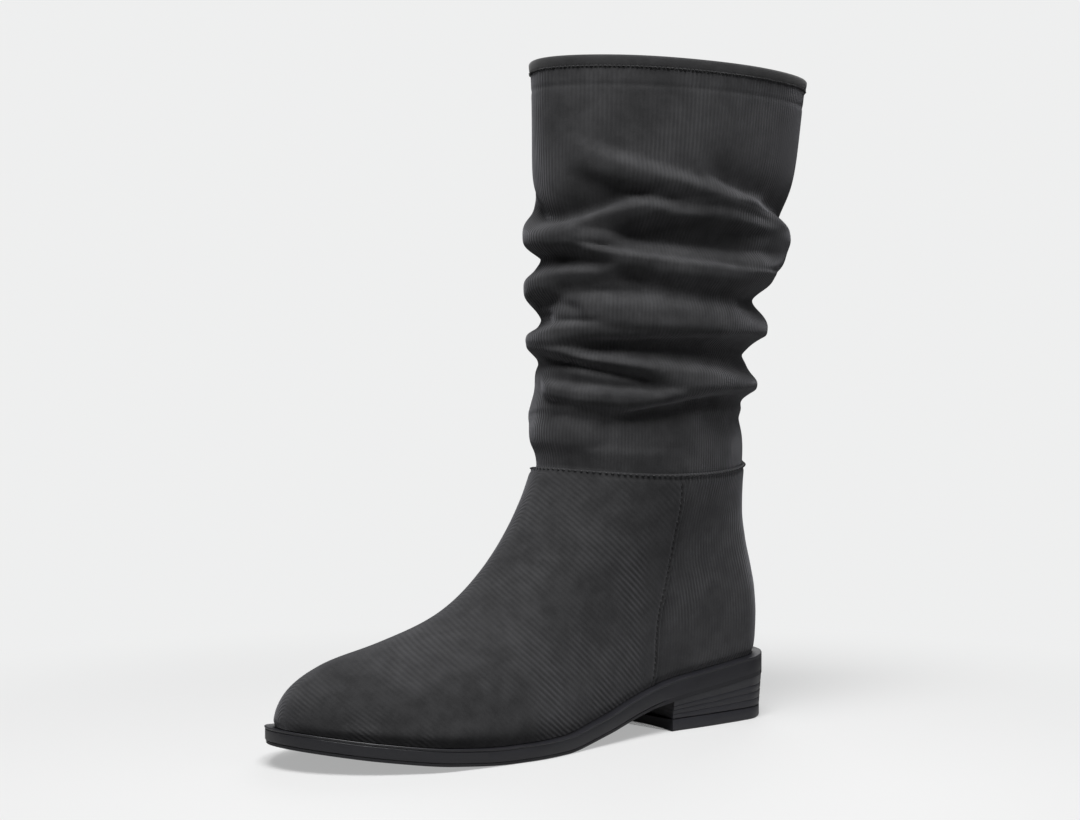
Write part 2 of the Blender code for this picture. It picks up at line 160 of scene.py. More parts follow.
# Mesh fineness
QUARTER_COLUMNS = 64
VAMP_COLUMNS = 140
FOOT_RINGS = 110
LINING_RINGS = 30
RIM_STEPS = 9
SHAFT_COLUMNS = 280
SHAFT_RINGS = 250
BINDING_COLUMNS = 1440
SOLE_POINTS = 181
SOCK_POINTS = 121
HEEL_SIDE_POINTS = 72
BREAST_POINTS = 15
PROFILE_POINTS = 241
HALF_POINTS = 361

# The stage: floor round the boot, backdrop, and each light's place, size and share of the key power
FLOOR_RADII = (0.3, 0.8, 2.0, 12.0)
FLOOR_COLUMNS = 96
FLOOR_MIDDLE = (0.08, 0.0, 0.0)
FLOOR_NEAR = 0.16
FLOOR_FAR = 0.42
FLOOR_GLOW = 0.45
FLOOR_COLOUR = (0.77, 0.77, 0.77, 1.0)
BACKDROP = (0.858, 0.862, 0.862, 1.0)
LIGHTS = {
    "overhead": ((0.52, 0.42, 1.38), 0.8, 3.0),
    "outer_side": ((-0.3, 1.4, 0.6), 0.8, 0.15),
    "inner_back": ((-1.1, -1.1, 1.0), 0.9, 0.6),
}
LIGHT_AIM = (0.05, 0.0, 0.12)

# The photograph's camera, in pixels of a picture 1080 wide and in the boot's own frame
PICTURE_WIDTH = 1080
FOCAL_PIXELS = 2285.2
CAMERA_YAW = 38.4455
CAMERA_DISTANCE = 1.0763
CAMERA_SIDE = -0.1227
CAMERA_HEIGHT = 0.1746
CAMERA_PITCH = 1.2871
BOOT_RIGHT_PIXELS = 115.0
BOOT_DOWN_PIXELS = 12.0
SENSOR_WIDTH = 36.0


def named(columns, rows):
    """A table as a dict from each column's name to its values, top row first."""
    return dict(zip(columns.split(), np.array(rows, float).T))


# Half widths of the sole at turns from its back (0) to its tip (1), as shares of the local width
OUTLINE = named(
    "turn lateral medial",
    [
        (0.0, 0.000, 0.000),
        (0.1, 0.306, 0.306),
        (0.2, 0.490, 0.490),
        (0.3, 0.505, 0.500),
        (0.4, 0.485, 0.420),
        (0.5, 0.480, 0.385),
        (0.6, 0.515, 0.450),
        (0.7, 0.510, 0.465),
        (0.8, 0.405, 0.370),
        (0.9, 0.218, 0.200),
        (1.0, 0.000, 0.000),
    ],
)

# Height of the sole's underside: shares of the heel's rise and of the toe spring, at stations along it
UNDERSIDE = named(
    "station rise spring",
    [
        (0.00, 1.00, 0.00),
        (0.06, 0.97, 0.00),
        (0.18, 0.82, 0.00),
        (0.28, 0.67, 0.00),
        (0.37, 0.46, 0.00),
        (0.46, 0.20, 0.00),
        (0.57, 0.00, 0.00),
        (0.69, 0.00, 0.00),
        (0.80, 0.00, 0.20),
        (0.90, 0.00, 0.55),
        (1.00, 0.00, 1.00),
    ],
)

# The foot's profile from the feather line (level 0) to the ankle (level 1), as the solids have it
PROFILE = named(
    "level back back_up front front_up oval",
    [
        (0.00, 0.013, 0.000, 0.987, 0.000, 0.00),
        (0.08, 0.006, 0.084, 0.978, 0.100, 0.00),
        (0.20, 0.004, 0.198, 0.953, 0.181, 0.00),
        (0.32, 0.008, 0.331, 0.890, 0.279, 0.05),
        (0.45, 0.018, 0.452, 0.782, 0.363, 0.15),
        (0.60, 0.034, 0.612, 0.658, 0.478, 0.30),
        (0.75, 0.040, 0.746, 0.570, 0.652, 0.55),
        (0.90, 0.038, 0.893, 0.498, 0.869, 0.85),
        (1.00, 0.034, 1.000, 0.470, 1.000, 1.00),
    ],
)

# The shaft before it slouches: how far it has opened from the ankle to the collar, at shares of its height
SHAFT = named(
    "up back front width",
    [
        (0.00, 0.00, 0.00, 0.00),
        (0.12, 0.02, 0.10, 0.12),
        (0.35, 0.20, 0.30, 0.40),
        (0.55, 0.50, 0.40, 0.65),
        (0.75, 0.80, 0.70, 0.85),
        (1.00, 1.00, 1.00, 1.00),
    ],
)

# The sole unit's edge from its tread to its top. A ring lies in from the outline by the inset in metres, at a
# share of the sole's thickness. Bead is its share of the bead along the toe's top edge.
SOLE_EDGE = named(
    "inset share bead",
    [
        (0.0016, 0.000, 0.0),
        (0.0009, 0.015, 0.0),
        (0.0005, 0.060, 0.0),
        (0.0004, 0.190, 0.0),
        (0.0008, 0.205, 0.0),
        (0.0008, 0.220, 0.0),
        (0.0002, 0.240, 0.0),
        (0.0000, 0.300, 0.0),
        (0.0000, 0.840, 0.0),
        (0.0001, 0.880, -0.3),
        (0.0000, 0.910, 0.5),
        (0.0000, 0.955, 0.8),
        (0.0002, 0.985, 0.8),
        (0.0005, 1.000, 0.5),
        (0.0011, 1.000, 0.0),
        (0.0060, 1.000, 0.0),
    ],
)

# Edges of the top piece, as insets and heights, and of the sock, as insets and depths under its top, in metres
TOP_PIECE_EDGE = ((0.0006, 0.0), (0.0001, 0.0005), (0.0, 0.001), (0.0, 0.005), (0.0003, TOP_PIECE_THICKNESS))
SOCK_EDGE = ((0.0, INSOLE_THICKNESS), (0.0, 0.0008), (0.0003, 0.0002), (0.001, 0.0), (0.004, 0.0))

# Folds as strokes around the shaft: each runs from a start to an end bearing, at heights given for its start, its
# middle and its end. Heights and the spreads below and above the crest are shares of the shaft's height. Out and
# lift are shares of the fold depth: out is how far the skin stands out (a trough is negative) and lift how far its
# crest leans upwards.
FOLDS = named(
    "start start_z middle_z end end_z below above out lift",
    [
        (100, 0.712, 0.550, 265, 0.690, 0.034, 0.038, 0.62, 0.12),
        (60, 0.645, 0.632, 165, 0.570, 0.030, 0.022, 0.45, 0.06),
        (128, 0.690, 0.598, 225, 0.682, 0.010, 0.030, -0.65, 0.00),
        (5, 0.543, 0.643, 175, 0.788, 0.036, 0.030, 0.55, 0.00),
        (20, 0.558, 0.606, 104, 0.653, 0.034, 0.016, 0.52, 0.09),
        (15, 0.605, 0.650, 108, 0.735, 0.010, 0.035, -0.45, 0.00),
        (48, 0.600, 0.638, 150, 0.680, 0.020, 0.022, -0.56, 0.00),
        (40, 0.530, 0.545, 165, 0.588, 0.014, 0.036, -0.81, 0.00),
        (20, 0.473, 0.483, 182, 0.553, 0.032, 0.016, 0.68, 0.06),
        (-60, 0.500, 0.535, 95, 0.500, 0.050, 0.050, 0.85, 0.00),
        (132, 0.478, 0.514, 245, 0.476, 0.014, 0.013, -0.60, 0.00),
        (120, 0.480, 0.448, 255, 0.410, 0.034, 0.026, 0.55, 0.05),
        (115, 0.470, 0.447, 182, 0.422, 0.022, 0.020, -0.36, 0.00),
        (-35, 0.343, 0.350, 190, 0.413, 0.028, 0.036, 0.64, 0.00),
        (152, 0.370, 0.402, 202, 0.385, 0.016, 0.018, -0.36, 0.00),
        (170, 0.375, 0.358, 262, 0.362, 0.018, 0.018, -0.50, 0.00),
        (126, 0.358, 0.313, 264, 0.296, 0.032, 0.020, 0.52, 0.07),
        (5, 0.335, 0.342, 176, 0.325, 0.018, 0.028, 0.48, -0.18),
        (-10, 0.250, 0.287, 176, 0.300, 0.018, 0.016, -0.62, 0.00),
        (-20, 0.183, 0.214, 190, 0.278, 0.027, 0.022, 0.58, 0.00),
        (146, 0.270, 0.278, 265, 0.273, 0.020, 0.016, 0.45, 0.00),
        (108, 0.198, 0.242, 198, 0.270, 0.010, 0.010, -0.68, 0.00),
        (172, 0.262, 0.262, 258, 0.255, 0.014, 0.014, -0.50, 0.00),
        (90, 0.193, 0.172, 194, 0.203, 0.022, 0.016, 0.60, 0.00),
        (146, 0.163, 0.131, 232, 0.123, 0.016, 0.016, 0.28, 0.00),
        (5, 0.180, 0.200, 146, 0.135, 0.016, 0.024, 0.44, -0.15),
        (10, 0.150, 0.172, 150, 0.112, 0.018, 0.008, -0.52, 0.00),
        (126, 0.100, 0.125, 215, 0.120, 0.014, 0.014, -0.22, 0.00),
        (-5, 0.120, 0.112, 100, 0.125, 0.022, 0.022, -0.30, 0.00),
        (95, 0.033, 0.028, 230, 0.043, 0.024, 0.020, 0.15, 0.00),
        (140, 0.100, 0.100, 280, 0.100, 0.055, 0.055, 0.42, 0.00),
        (-50, 0.430, 0.417, 82, 0.405, 0.020, 0.020, -0.60, 0.00),
        (215, 0.600, 0.640, 380, 0.620, 0.036, 0.036, 0.60, 0.00),
        (205, 0.500, 0.485, 375, 0.470, 0.022, 0.022, -0.45, 0.00),
        (210, 0.430, 0.395, 360, 0.400, 0.030, 0.030, 0.55, 0.00),
        (215, 0.350, 0.340, 370, 0.330, 0.022, 0.022, -0.45, 0.00),
        (215, 0.290, 0.270, 365, 0.250, 0.028, 0.028, 0.50, 0.00),
        (220, 0.235, 0.218, 350, 0.200, 0.020, 0.020, -0.40, 0.00),
        (230, 0.170, 0.165, 355, 0.160, 0.030, 0.030, 0.35, 0.00),
    ],
)


def soft_curve(knots, values, at):
    """A smooth curve through the knots that never swings past them, read at the places asked for."""
    step = np.diff(knots)
    rise = np.diff(values) / step
    slope = np.concatenate([rise[:1], np.zeros(len(rise) - 1), rise[-1:]])
    turns_on = rise[:-1] * rise[1:] > 0
    before = np.where(turns_on, rise[:-1], 1.0)
    after = np.where(turns_on, rise[1:], 1.0)
    near = 2 * step[1:] + step[:-1]
    far = step[1:] + 2 * step[:-1]
    slope[1:-1] = np.where(turns_on, (near + far) / (near / before + far / after), 0.0)
    cell = np.clip(np.searchsorted(knots, at) - 1, 0, len(step) - 1)
    t = np.clip((at - knots[cell]) / step[cell], 0.0, 1.0)
    return (
        values[cell] * (1 + 2 * t) * (1 - t) ** 2
        + values[cell + 1] * t**2 * (3 - 2 * t)
        + step[cell] * (slope[cell] * t * (1 - t) ** 2 - slope[cell + 1] * t**2 * (1 - t))
    )


def ease(low, high, at):
    """Runs smoothly from 0 at low to 1 at high."""
    t = np.clip((at - low) / (high - low), 0.0, 1.0)
    return t * t * (3 - 2 * t)


def bell(at, middle, spread):
    """A soft bump of height 1: e to the power of minus half the squared distance from the middle over spread."""
    return np.exp(-0.5 * ((at - middle) / spread) ** 2)


def swing(station):
    """How far the sole's middle line has swung to the inner side, at a station in metres."""
    past_waist = np.clip((station / SOLE_LENGTH - SWING_START) / (1 - SWING_START), 0.0, None)
    return TOE_SWING * past_waist**SWING_POWER


def underside(station):
    """Height of the sole's underside over the floor: the heel's rise and the toe's spring, each on its curve."""
    share = station / SOLE_LENGTH
    at = {name: soft_curve(UNDERSIDE["station"], values, share) for name, values in UNDERSIDE.items()}
    return (SEAT_HEIGHT - SEAT_THICKNESS) * at["rise"] + TOE_SPRING * at["spring"]


def thickness(station):
    """Thickness of the sole, which thins from its seat to its tip."""
    return SEAT_THICKNESS + (TOE_THICKNESS - SEAT_THICKNESS) * ease(*WAIST, station / SOLE_LENGTH)


def sole_top(station):
    """Height of the sole's top face above the floor."""
    return underside(station) + thickness(station)


def raw_outline(bearing):
    """The sole's outline at bearings in radians: half widths beside a line that swings in at the toe."""
    turn = 1 - np.abs(1 - np.mod(bearing, 2 * np.pi) / np.pi)
    share = (1 - np.cos(bearing)) / 2
    width = HEEL_WIDTH + (BALL_WIDTH - HEEL_WIDTH) * ease(*WAIST, share)
    lateral = soft_curve(OUTLINE["turn"], OUTLINE["lateral"], turn)
    medial = soft_curve(OUTLINE["turn"], OUTLINE["medial"], turn)
    half = np.where(np.sin(bearing) >= 0, lateral, -medial) * width
    station = SOLE_LENGTH * share
    return station, half - swing(station)


def outline(bearing, inset):
    """The sole's outline moved inwards by a distance, square to its edge."""
    reach = 0.02
    x, y = raw_outline(bearing)
    x_after, y_after = raw_outline(bearing + reach)
    x_before, y_before = raw_outline(bearing - reach)
    dx, dy = x_after - x_before, y_after - y_before
    length = np.hypot(dx, dy)
    return x + inset * dy / length, y - inset * dx / length


def risen(station, up):
    """Height at a station, for a share of the rise from the sole's top to the ankle."""
    return sole_top(station) + up * (ANKLE_HEIGHT - sole_top(station))


def instep_line():
    """Stations and heights of the foot's front profile, carried on steeply above the ankle."""
    level = np.linspace(0.0, 1.0, PROFILE_POINTS)
    x = SOLE_LENGTH * soft_curve(PROFILE["level"], PROFILE["front"], level)
    z = risen(x, soft_curve(PROFILE["level"], PROFILE["front_up"], level))
    return np.append(x, 0.0)[::-1], np.append(z, 4 * ANKLE_HEIGHT)[::-1]


def half_width(station, side):
    """The foot's half width over the feather line at a station, on the outer (+1) or inner (-1) side."""
    bearing = np.linspace(0.0, np.pi, HALF_POINTS)
    x, y = outline(bearing if side > 0 else 2 * np.pi - bearing, FEATHER_INSET)
    return np.interp(station, x, np.abs(y + swing(x)))


def foot_skin(bearing, level):
    """Points of the foot's outer skin: rings that fan from the feather line up to the ankle.

    A ring's two ends stand on the back and front profiles, its points run between them as the sole's outline does
    and turn into an oval at the ankle, and its half width narrows with the climb c towards the instep line as
    (1 - c ** CLIMB_POWER) ** ROUND_POWER.
    """
    row = {name: soft_curve(PROFILE["level"], values, level) for name, values in PROFILE.items()}
    back, front = outline(np.array([0.0, np.pi]), FEATHER_INSET)[0]
    ring_back, ring_front = SOLE_LENGTH * row["back"], SOLE_LENGTH * row["front"]
    along = (outline(bearing, FEATHER_INSET)[0] - back) / (front - back)
    share = along + row["oval"] * ((1 - np.cos(bearing)) / 2 - along)
    x = ring_back + (ring_front - ring_back) * share
    back_z, front_z = risen(ring_back, row["back_up"]), risen(ring_front, row["front_up"])
    sag = sole_top(x) - sole_top(ring_back) - (sole_top(ring_front) - sole_top(ring_back)) * share
    z = back_z + (front_z - back_z) * share + sag * (1 - level)
    ridge = np.interp(x, *instep_line())
    room = np.maximum(ridge - sole_top(x), CLEARANCE)
    climb = np.clip((z - sole_top(x)) / room, 0.0, 1.0)
    pulled = x - (ring_back - back) * np.exp(-(x - ring_back) / (BACK_PULL * SOLE_LENGTH))
    side = np.where(np.sin(bearing) >= 0, half_width(pulled, 1), half_width(pulled, -1))
    bulge = 1 + FOOT_BULGE * np.sin(np.pi * np.clip(climb / BULGE_TOP, 0.0, 1.0)) ** 2
    foot_form = side * bulge * (1 - climb**CLIMB_POWER) ** ROUND_POWER
    oval_form = ANKLE_WIDTH / 2 * np.abs(np.sin(bearing))
    y = np.sign(np.sin(bearing)) * (foot_form + row["oval"] * (oval_form - foot_form)) - swing(x)
    return np.stack([x, y, z + CLEARANCE - ANKLE_DIP * level**3 * np.sin(bearing) ** 2], axis=-1)


def fold_push(bearing, up):
    """How far the folds push the shaft's skin outwards and upwards, in metres.

    Across its stroke a ridge is a puff: e to the power of minus half of its distance over the spread, raised to
    PUFF_POWER. A trough is a crease, with CREASE_POWER. Each side of the crest has its own spread. Both die away
    towards the stroke's ends. Ridges add as the cube root of their summed cubes, so that two that meet don't pile
    up, and troughs too.
    """
    degrees = np.degrees(bearing)
    ridges = np.zeros(np.broadcast(bearing, up).shape)
    troughs, lift = ridges.copy(), ridges.copy()
    for start, start_z, middle_z, end, end_z, below, above, push, lean in zip(*FOLDS.values()):
        t = (np.mod(degrees - (start + end) / 2 + 180, 360) - 180) / ((end - start) / 2)
        held = np.clip(t, -1, 1)
        centre = middle_z + (end_z - start_z) / 2 * held + ((start_z + end_z) / 2 - middle_z) * held**2
        across = np.abs(up - centre) / np.where(up > centre, above, below)
        shape = np.exp(-0.5 * across ** (PUFF_POWER if push > 0 else CREASE_POWER))
        crest = shape * (1 - ease(FOLD_RUN_OUT, 1.0, np.abs(t))) * ease(0.0, FOLD_START_UP, up)
        ridges += (max(push, 0) * crest) ** 3
        troughs += (max(-push, 0) * crest) ** 3
        lift += lean * crest
    depth = bpy.context.scene.boot_upper.fold_depth
    return depth * (np.cbrt(ridges) - np.cbrt(troughs)), depth * lift


def shaft_form(bearing, up):
    """Points of the shaft before it slouches and the directions that face out of it, level with the floor.

    The form is an oval whose ends and width open from the ankle to the collar along the SHAFT table.
    """
    tight = WALL + CLEARANCE
    opened = {name: soft_curve(SHAFT["up"], values, up) for name, values in SHAFT.items()}
    ankle_back, ankle_front = ANKLE_BACK + tight, ANKLE_BACK + ANKLE_LENGTH - tight
    collar_front = ankle_front + COLLAR_AHEAD
    collar_back = collar_front - COLLAR_LENGTH
    back = ankle_back + (collar_back - ankle_back) * opened["back"]
    front = ankle_front + (collar_front - ankle_front) * opened["front"]
    half = ANKLE_WIDTH / 2 - tight + (COLLAR_WIDTH / 2 - ANKLE_WIDTH / 2 + tight) * opened["width"]
    reach = (front - back) / 2
    out_x, out_y = -half * np.cos(bearing), reach * np.sin(bearing)
    length = np.hypot(out_x, out_y)
    x = (front + back) / 2 - reach * np.cos(bearing)
    y = half * np.sin(bearing)
    dip = ANKLE_DIP * np.sin(bearing) ** 2 * (1 - ease(0.0, DIP_TOP, up))
    fall = COLLAR_FALL * ease(FALL_START, 1.0, up) * (1 + np.cos(bearing)) / 2
    z = ANKLE_HEIGHT + CLEARANCE + up * SHAFT_HEIGHT - dip - fall
    return np.stack([x, y, z], axis=-1), np.stack([out_x / length, out_y / length, 0 * length], axis=-1)


def shaft_skin(bearing, up, depth=0.0):
    """Points of the slouched shaft, at a depth in from its outer face: its form, pushed by the folds."""
    form, out = shaft_form(bearing, up)
    push, lift = fold_push(bearing, up)
    below_top = (1 - up) * SHAFT_HEIGHT
    push = push - FACING_SINK * bell(below_top, FACING_DROP, FACING_SPREAD)
    ripple = loose(bearing, up * SHAFT_HEIGHT / RIPPLE_RISE) * ease(0.0, RIPPLE_START_UP, up)
    skin = form + (push + bpy.context.scene.boot_upper.ripple * ripple - depth)[..., None] * out
    skin[..., 2] += lift
    return skin


def loose(bearing, climb):
    """A gentle unevenness from -1 to 1: three slow waves that lean different ways round and up the leg."""
    return (
        np.sin(3 * bearing + 2.1 * climb + 0.4)
        + np.sin(5 * bearing - 3.2 * climb + 2.0)
        + np.sin(8 * bearing + 4.6 * climb + 4.1)
    ) / 3


def placed(points):
    """Points moved from stations along the sole to the boot's own origin."""
    return points - np.array([HEEL_LENGTH / 2, 0.0, 0.0])


def unit(vectors):
    """Vectors scaled to length 1."""
    return vectors / np.maximum(np.linalg.norm(vectors, axis=-1, keepdims=True), 1e-12)


def normals(skin):
    """Unit normals that face out of a skin of closed rings, lowest ring first."""
    around = np.roll(skin, -1, axis=1) - np.roll(skin, 1, axis=1)
    return unit(np.cross(np.gradient(skin, axis=0), around))


def run_of(points):
    """Distance run along each row of points, starting at 0."""
    steps = np.linalg.norm(np.diff(points, axis=-2), axis=-1)
    return np.concatenate([np.zeros_like(steps[..., :1]), np.cumsum(steps, axis=-1)], axis=-1)


def all_round(columns):
    """Even bearings all round, as one row."""
    return np.arange(columns)[None, :] * 2 * np.pi / columns


def quads(rings, around, closed=False):
    """Faces between rings of points, with the ring and the column of each of their corners.

    The column past a ring's last point is counted on, so that it has its own UV.
    """
    ring, column = np.mgrid[0 : rings if closed else rings - 1, 0:around]
    above = (ring + 1) % rings
    four = [(ring, column + 1), (ring, column), (above, column), (above, column + 1)]
    ring, column = (np.stack([pick[axis] for pick in four], axis=-1).reshape(-1, 4) for axis in (0, 1))
    return ring * around + column % around, ring, column


def ladder(first, around, upwards):
    """Rungs that close a ring whose two sides mirror each other, from its back to its front."""
    rungs = []
    for i in range(around // 2):
        rung = [first + i, first + i + 1, first + around - i - 1, first + (around - i) % around]
        rung = list(dict.fromkeys(rung))
        rungs.append(rung[::-1] if upwards else rung)
    return rungs


def dressed(name, points, faces, finish_names, node=None, slot=None, uv=None, finish_of=None, angle=50):
    """A finished piece: a mesh at the origin in the boot's own frame, riding on its one body."""
    mesh = bpy.data.meshes.new(name)
    mesh.from_pydata(placed(points).reshape(-1, 3).tolist(), [], faces)
    for finish in finish_names:
        mesh.materials.append(finishes()[finish])
    if uv is not None:
        layer = mesh.uv_layers.new(name="ribs")
        layer.uv.foreach_set("vector", np.ascontiguousarray(uv, dtype=np.float32).ravel())
    if finish_of is not None:
        mesh.polygons.foreach_set("material_index", np.ascontiguousarray(finish_of, dtype=np.int32))
    mesh.shade_smooth()
    mesh.set_sharp_from_angle(angle=np.radians(angle))
    piece = bpy.data.objects.new(name, mesh)
    bpy.context.scene.collection.objects.link(piece)
    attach(piece, "root")
    if node:
        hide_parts(node)
    return piece


def foot_columns(level):
    """Bearings of the foot's columns, crowded towards the side seams, with a column on either side of each."""
    straight = SEAM_FEATHER_BEARING + (SEAM_ANKLE_BEARING - SEAM_FEATHER_BEARING) * level
    seam = np.radians(straight - 4 * SEAM_BOW * level * (1 - level))
    back_share = 1 - (1 - np.linspace(0.0, 1.0, QUARTER_COLUMNS)) ** SEAM_CROWD
    front_share = np.linspace(0.0, 1.0, VAMP_COLUMNS) ** SEAM_CROWD
    half = np.concatenate([seam * back_share, seam + (np.pi - seam) * front_share], axis=-1)
    return np.concatenate([half, 2 * np.pi - half[..., -2:0:-1]], axis=-1)


def past_seam(skin):
    """Distance of each point in front of its side seam, and whether it is on the vamp."""
    around = skin.shape[1]
    run = run_of(skin)
    outer, inner, front = QUARTER_COLUMNS, around - QUARTER_COLUMNS, QUARTER_COLUMNS + VAMP_COLUMNS - 1
    column = np.arange(around)[None, :]
    ahead = np.where(column <= front, run - run[:, outer : outer + 1], run[:, inner : inner + 1] - run)
    return ahead, (column >= outer) & (column <= inner)


def stitch_pull(distance):
    """How far a row of stitches pulls the suede in, at a distance from the edge that it follows."""
    puff = PUFF_SHARE * bell(distance, PUFF_INSET, PUFF_SPREAD)
    return STITCH_SINK * (bell(distance, STITCH_INSET, STITCH_SPREAD) - puff)


def lap(ahead, on_vamp):
    """How far the skin stands in from the vamp's face: a full step behind the seam, then the vamp's round edge.

    The edge is a quarter of an ellipse: its depth is a share of the step times one minus the square root of one
    minus the squared share of the edge still to run.
    """
    edge = 1 - np.clip(ahead / SEAM_EDGE_RUN, 0.0, 1.0)
    rounded = SEAM_STEP * SEAM_EDGE * (1 - np.sqrt(1 - edge**2))
    return np.where(on_vamp, rounded + stitch_pull(ahead), SEAM_STEP)


def vamp_ribs(points):
    """Rib count across the vamp at each point.

    The ribs run aslant over the instep: on the outer side they fall towards the heel, and steeper the nearer
    they are to it, and over the instep line they fall towards the toe. A point's rise over RIB_LEVEL is its
    height on the outer side, and as much over the instep line as it lies under it on the inner side. The way aft
    is a slanting sum of its place, as RIB_AFT says. The count is RIB_SHARE times aft, plus aft squared, plus the
    rise times one minus RIB_FAN times aft, all over the pitch times RIB_SPAN.
    """
    x, y, z = np.moveaxis(points, -1, 0)
    ridge = np.interp(x, *instep_line())
    rise = np.where(y + swing(x) >= 0, z, 2 * np.maximum(ridge, z) - z) - RIB_LEVEL
    aft = RIB_AFT[0] * x + RIB_AFT[1] * y + RIB_AFT[2]
    count = RIB_SHARE * aft + aft**2 + rise * (1 - RIB_FAN * aft)
    return count / (RIB_SPAN * bpy.context.scene.boot_upper.rib_pitch)


def foot():
    """Vamp and back quarter as one closed wall, with the vamp lapped over the quarter at each side seam.

    Outer face: foot_skin, less the lap and the pull of the stitches. Top edge: a half round as thick as the
    wall. Inner face: foot_skin moved in by the wall.
    """
    levels = np.linspace(0.0, 1.0, FOOT_RINGS)[:, None]
    base = foot_skin(foot_columns(levels), levels)
    out = normals(base)
    ahead, on_vamp = past_seam(base)
    below_edge = np.abs(base[-1:, :, 2] - base[..., 2])
    depth = lap(ahead, on_vamp) + stitch_pull(below_edge) + FEATHER_TUCK * (1 - ease(0.0, FEATHER_RUN, levels))
    skin = base - depth[..., None] * out
    skin[0, :, 2] = base[0, :, 2]
    kept = int(np.sum(below_edge.mean(axis=1) > WALL / 2))
    turn = np.linspace(0.0, np.pi, RIM_STEPS)[1:-1, None, None]
    rim = base[kept - 1] - (WALL / 2) * (1 - np.cos(turn)) * out[kept - 1]
    rim = rim - depth[kept - 1][:, None] * out[kept - 1] * (1 + np.cos(turn)) / 2
    rim = rim + np.array([0.0, 0.0, WALL / 2]) * np.sin(turn)
    inner_levels = np.linspace(levels[kept - 1, 0], 0.0, LINING_RINGS)[:, None]
    inner = foot_skin(foot_columns(inner_levels), inner_levels)
    inner = inner + WALL * normals(inner)
    inner[-1, :, 2] = base[0, :, 2]
    rings = np.concatenate([skin[:kept], rim, inner])
    return rings, kept, base, out, ahead


def foot_faces(rings, kept, pitch):
    """Faces of the foot with their UVs and finishes: aslant ribs on the vamp, upright ones on the quarter."""
    count, around = rings.shape[:2]
    faces, ring, column = quads(count, around, closed=True)
    wrapped = np.concatenate([rings, rings[:, :1]], axis=1)
    pitch_run = np.stack([run_of(wrapped), wrapped[..., 2]], axis=-1) / pitch
    half = pitch_run[:, -1:, 0] / 2
    pitch_run[..., 0] = half - np.abs(pitch_run[..., 0] - half)
    vamp = np.stack([vamp_ribs(wrapped), wrapped[..., 2] / pitch], axis=-1)
    in_front = (column[:, 1:2] >= QUARTER_COLUMNS - 1) & (column[:, 1:2] <= around - QUARTER_COLUMNS)
    uv = np.where(in_front[..., None], vamp[ring, column], pitch_run[ring, column])
    # Finish 2 is the vamp's darker copy of the suede, painted shade.
    finish = np.where(ring[:, 1] >= kept + RIM_STEPS - 2, 1, np.where(in_front[:, 0], 2, 0))
    return faces, uv, finish


def shaft_rings():
    """The leg as one closed wall: from the tuck inside the ankle up its outer face, then down its inner face."""
    bearing = all_round(SHAFT_COLUMNS)
    ankle = foot_skin(bearing, np.array([[TUCK_LEVEL - 0.01], [TUCK_LEVEL]]))
    tucked = ankle[1:] - (WALL + 2 * CLEARANCE) * normals(ankle)[1:]
    outer = shaft_skin(bearing, np.linspace(0.0, 1.0, SHAFT_RINGS)[:, None])
    low = tucked + (outer[:1] - tucked) * np.array(TUCK_STEPS)[:, None, None]
    inner = shaft_skin(bearing, np.linspace(1.0, 0.0, 2 * LINING_RINGS)[:, None], WALL)
    middle = np.array([ANKLE_BACK + ANKLE_LENGTH / 2, 0.0, 0.0])
    last = tucked + WALL * unit(middle - tucked) * np.array([1, 1, 0])
    return np.concatenate([low, outer, inner, last]), len(low) + SHAFT_RINGS


def binding_section():
    """The binding's section as offsets out from the shaft's face and up from its top edge.

    A low round lip, sides that slope out from it and round shoulders. The inner side mirrors the outer one about
    the wall.
    """
    reach = CLEARANCE + BINDING_THICKNESS
    edge, shoulder, lip = 0.0004, 0.0012, 0.0008
    turn = np.linspace(-np.pi / 2, 0.0, 5)
    low = np.stack([edge * np.cos(turn), -BINDING_HEIGHT + lip + lip * np.sin(turn)], axis=-1)
    turn = np.linspace(0.0, np.pi / 2, 6)
    top = np.stack([reach - shoulder * (1 - np.cos(turn)), reach - shoulder * (1 - np.sin(turn))], axis=-1)
    side = np.stack([np.linspace(edge, reach, 5), np.linspace(-0.82, -0.30, 5) * BINDING_HEIGHT], axis=-1)
    outer = np.concatenate([low, side, top])
    inner = (outer * [-1, 1] - [WALL, 0])[::-1]
    under = np.array([[-WALL, -BINDING_HEIGHT + lip], [-WALL, 0.0]])
    return np.concatenate([outer, inner, under, (under * [-1, 1] - [WALL, 0])[::-1]])


def binding_rings():
    """The folded strip round the collar, and the ways out of it.

    It is the section at each bearing, with its lower edge drawn in and up by each stitch.
    """
    bearing = all_round(BINDING_COLUMNS)
    high = shaft_skin(bearing, np.array([[1.0]]))
    low = shaft_skin(bearing, np.array([[1 - BINDING_HEIGHT / SHAFT_HEIGHT]]))
    out = shaft_form(bearing, np.array([[1.0]]))[1]
    section = binding_section()
    drop = np.clip(-section[:, 1] / BINDING_HEIGHT, 0.0, 1.0)[:, None, None]
    rise = np.maximum(section[:, 1], 0.0)[:, None, None]
    run = run_of(np.concatenate([high, high[:, :1]], axis=1))[:, :-1]
    girth = np.linalg.norm(high[0, 0] - high[0, -1]) + run[0, -1]
    stitch = np.cos(2 * np.pi * np.round(girth / BINDING_PITCH) * run / girth) ** 2
    facing = np.where(section[:, 0] > -WALL / 2, 1.0, -1.0)[:, None, None]
    pull = BINDING_PULL * bell(drop, BINDING_PULL_AT, BINDING_PULL_SPREAD) * stitch[..., None]
    reach = section[:, 0][:, None, None] - facing * pull
    scallop = BINDING_SCALLOP * stitch[..., None] * ease(0.8, 1.0, drop)
    rings = high + (low - high) * drop + out * reach + np.array([0.0, 0.0, 1.0]) * (rise + scallop)
    return rings, out[0]


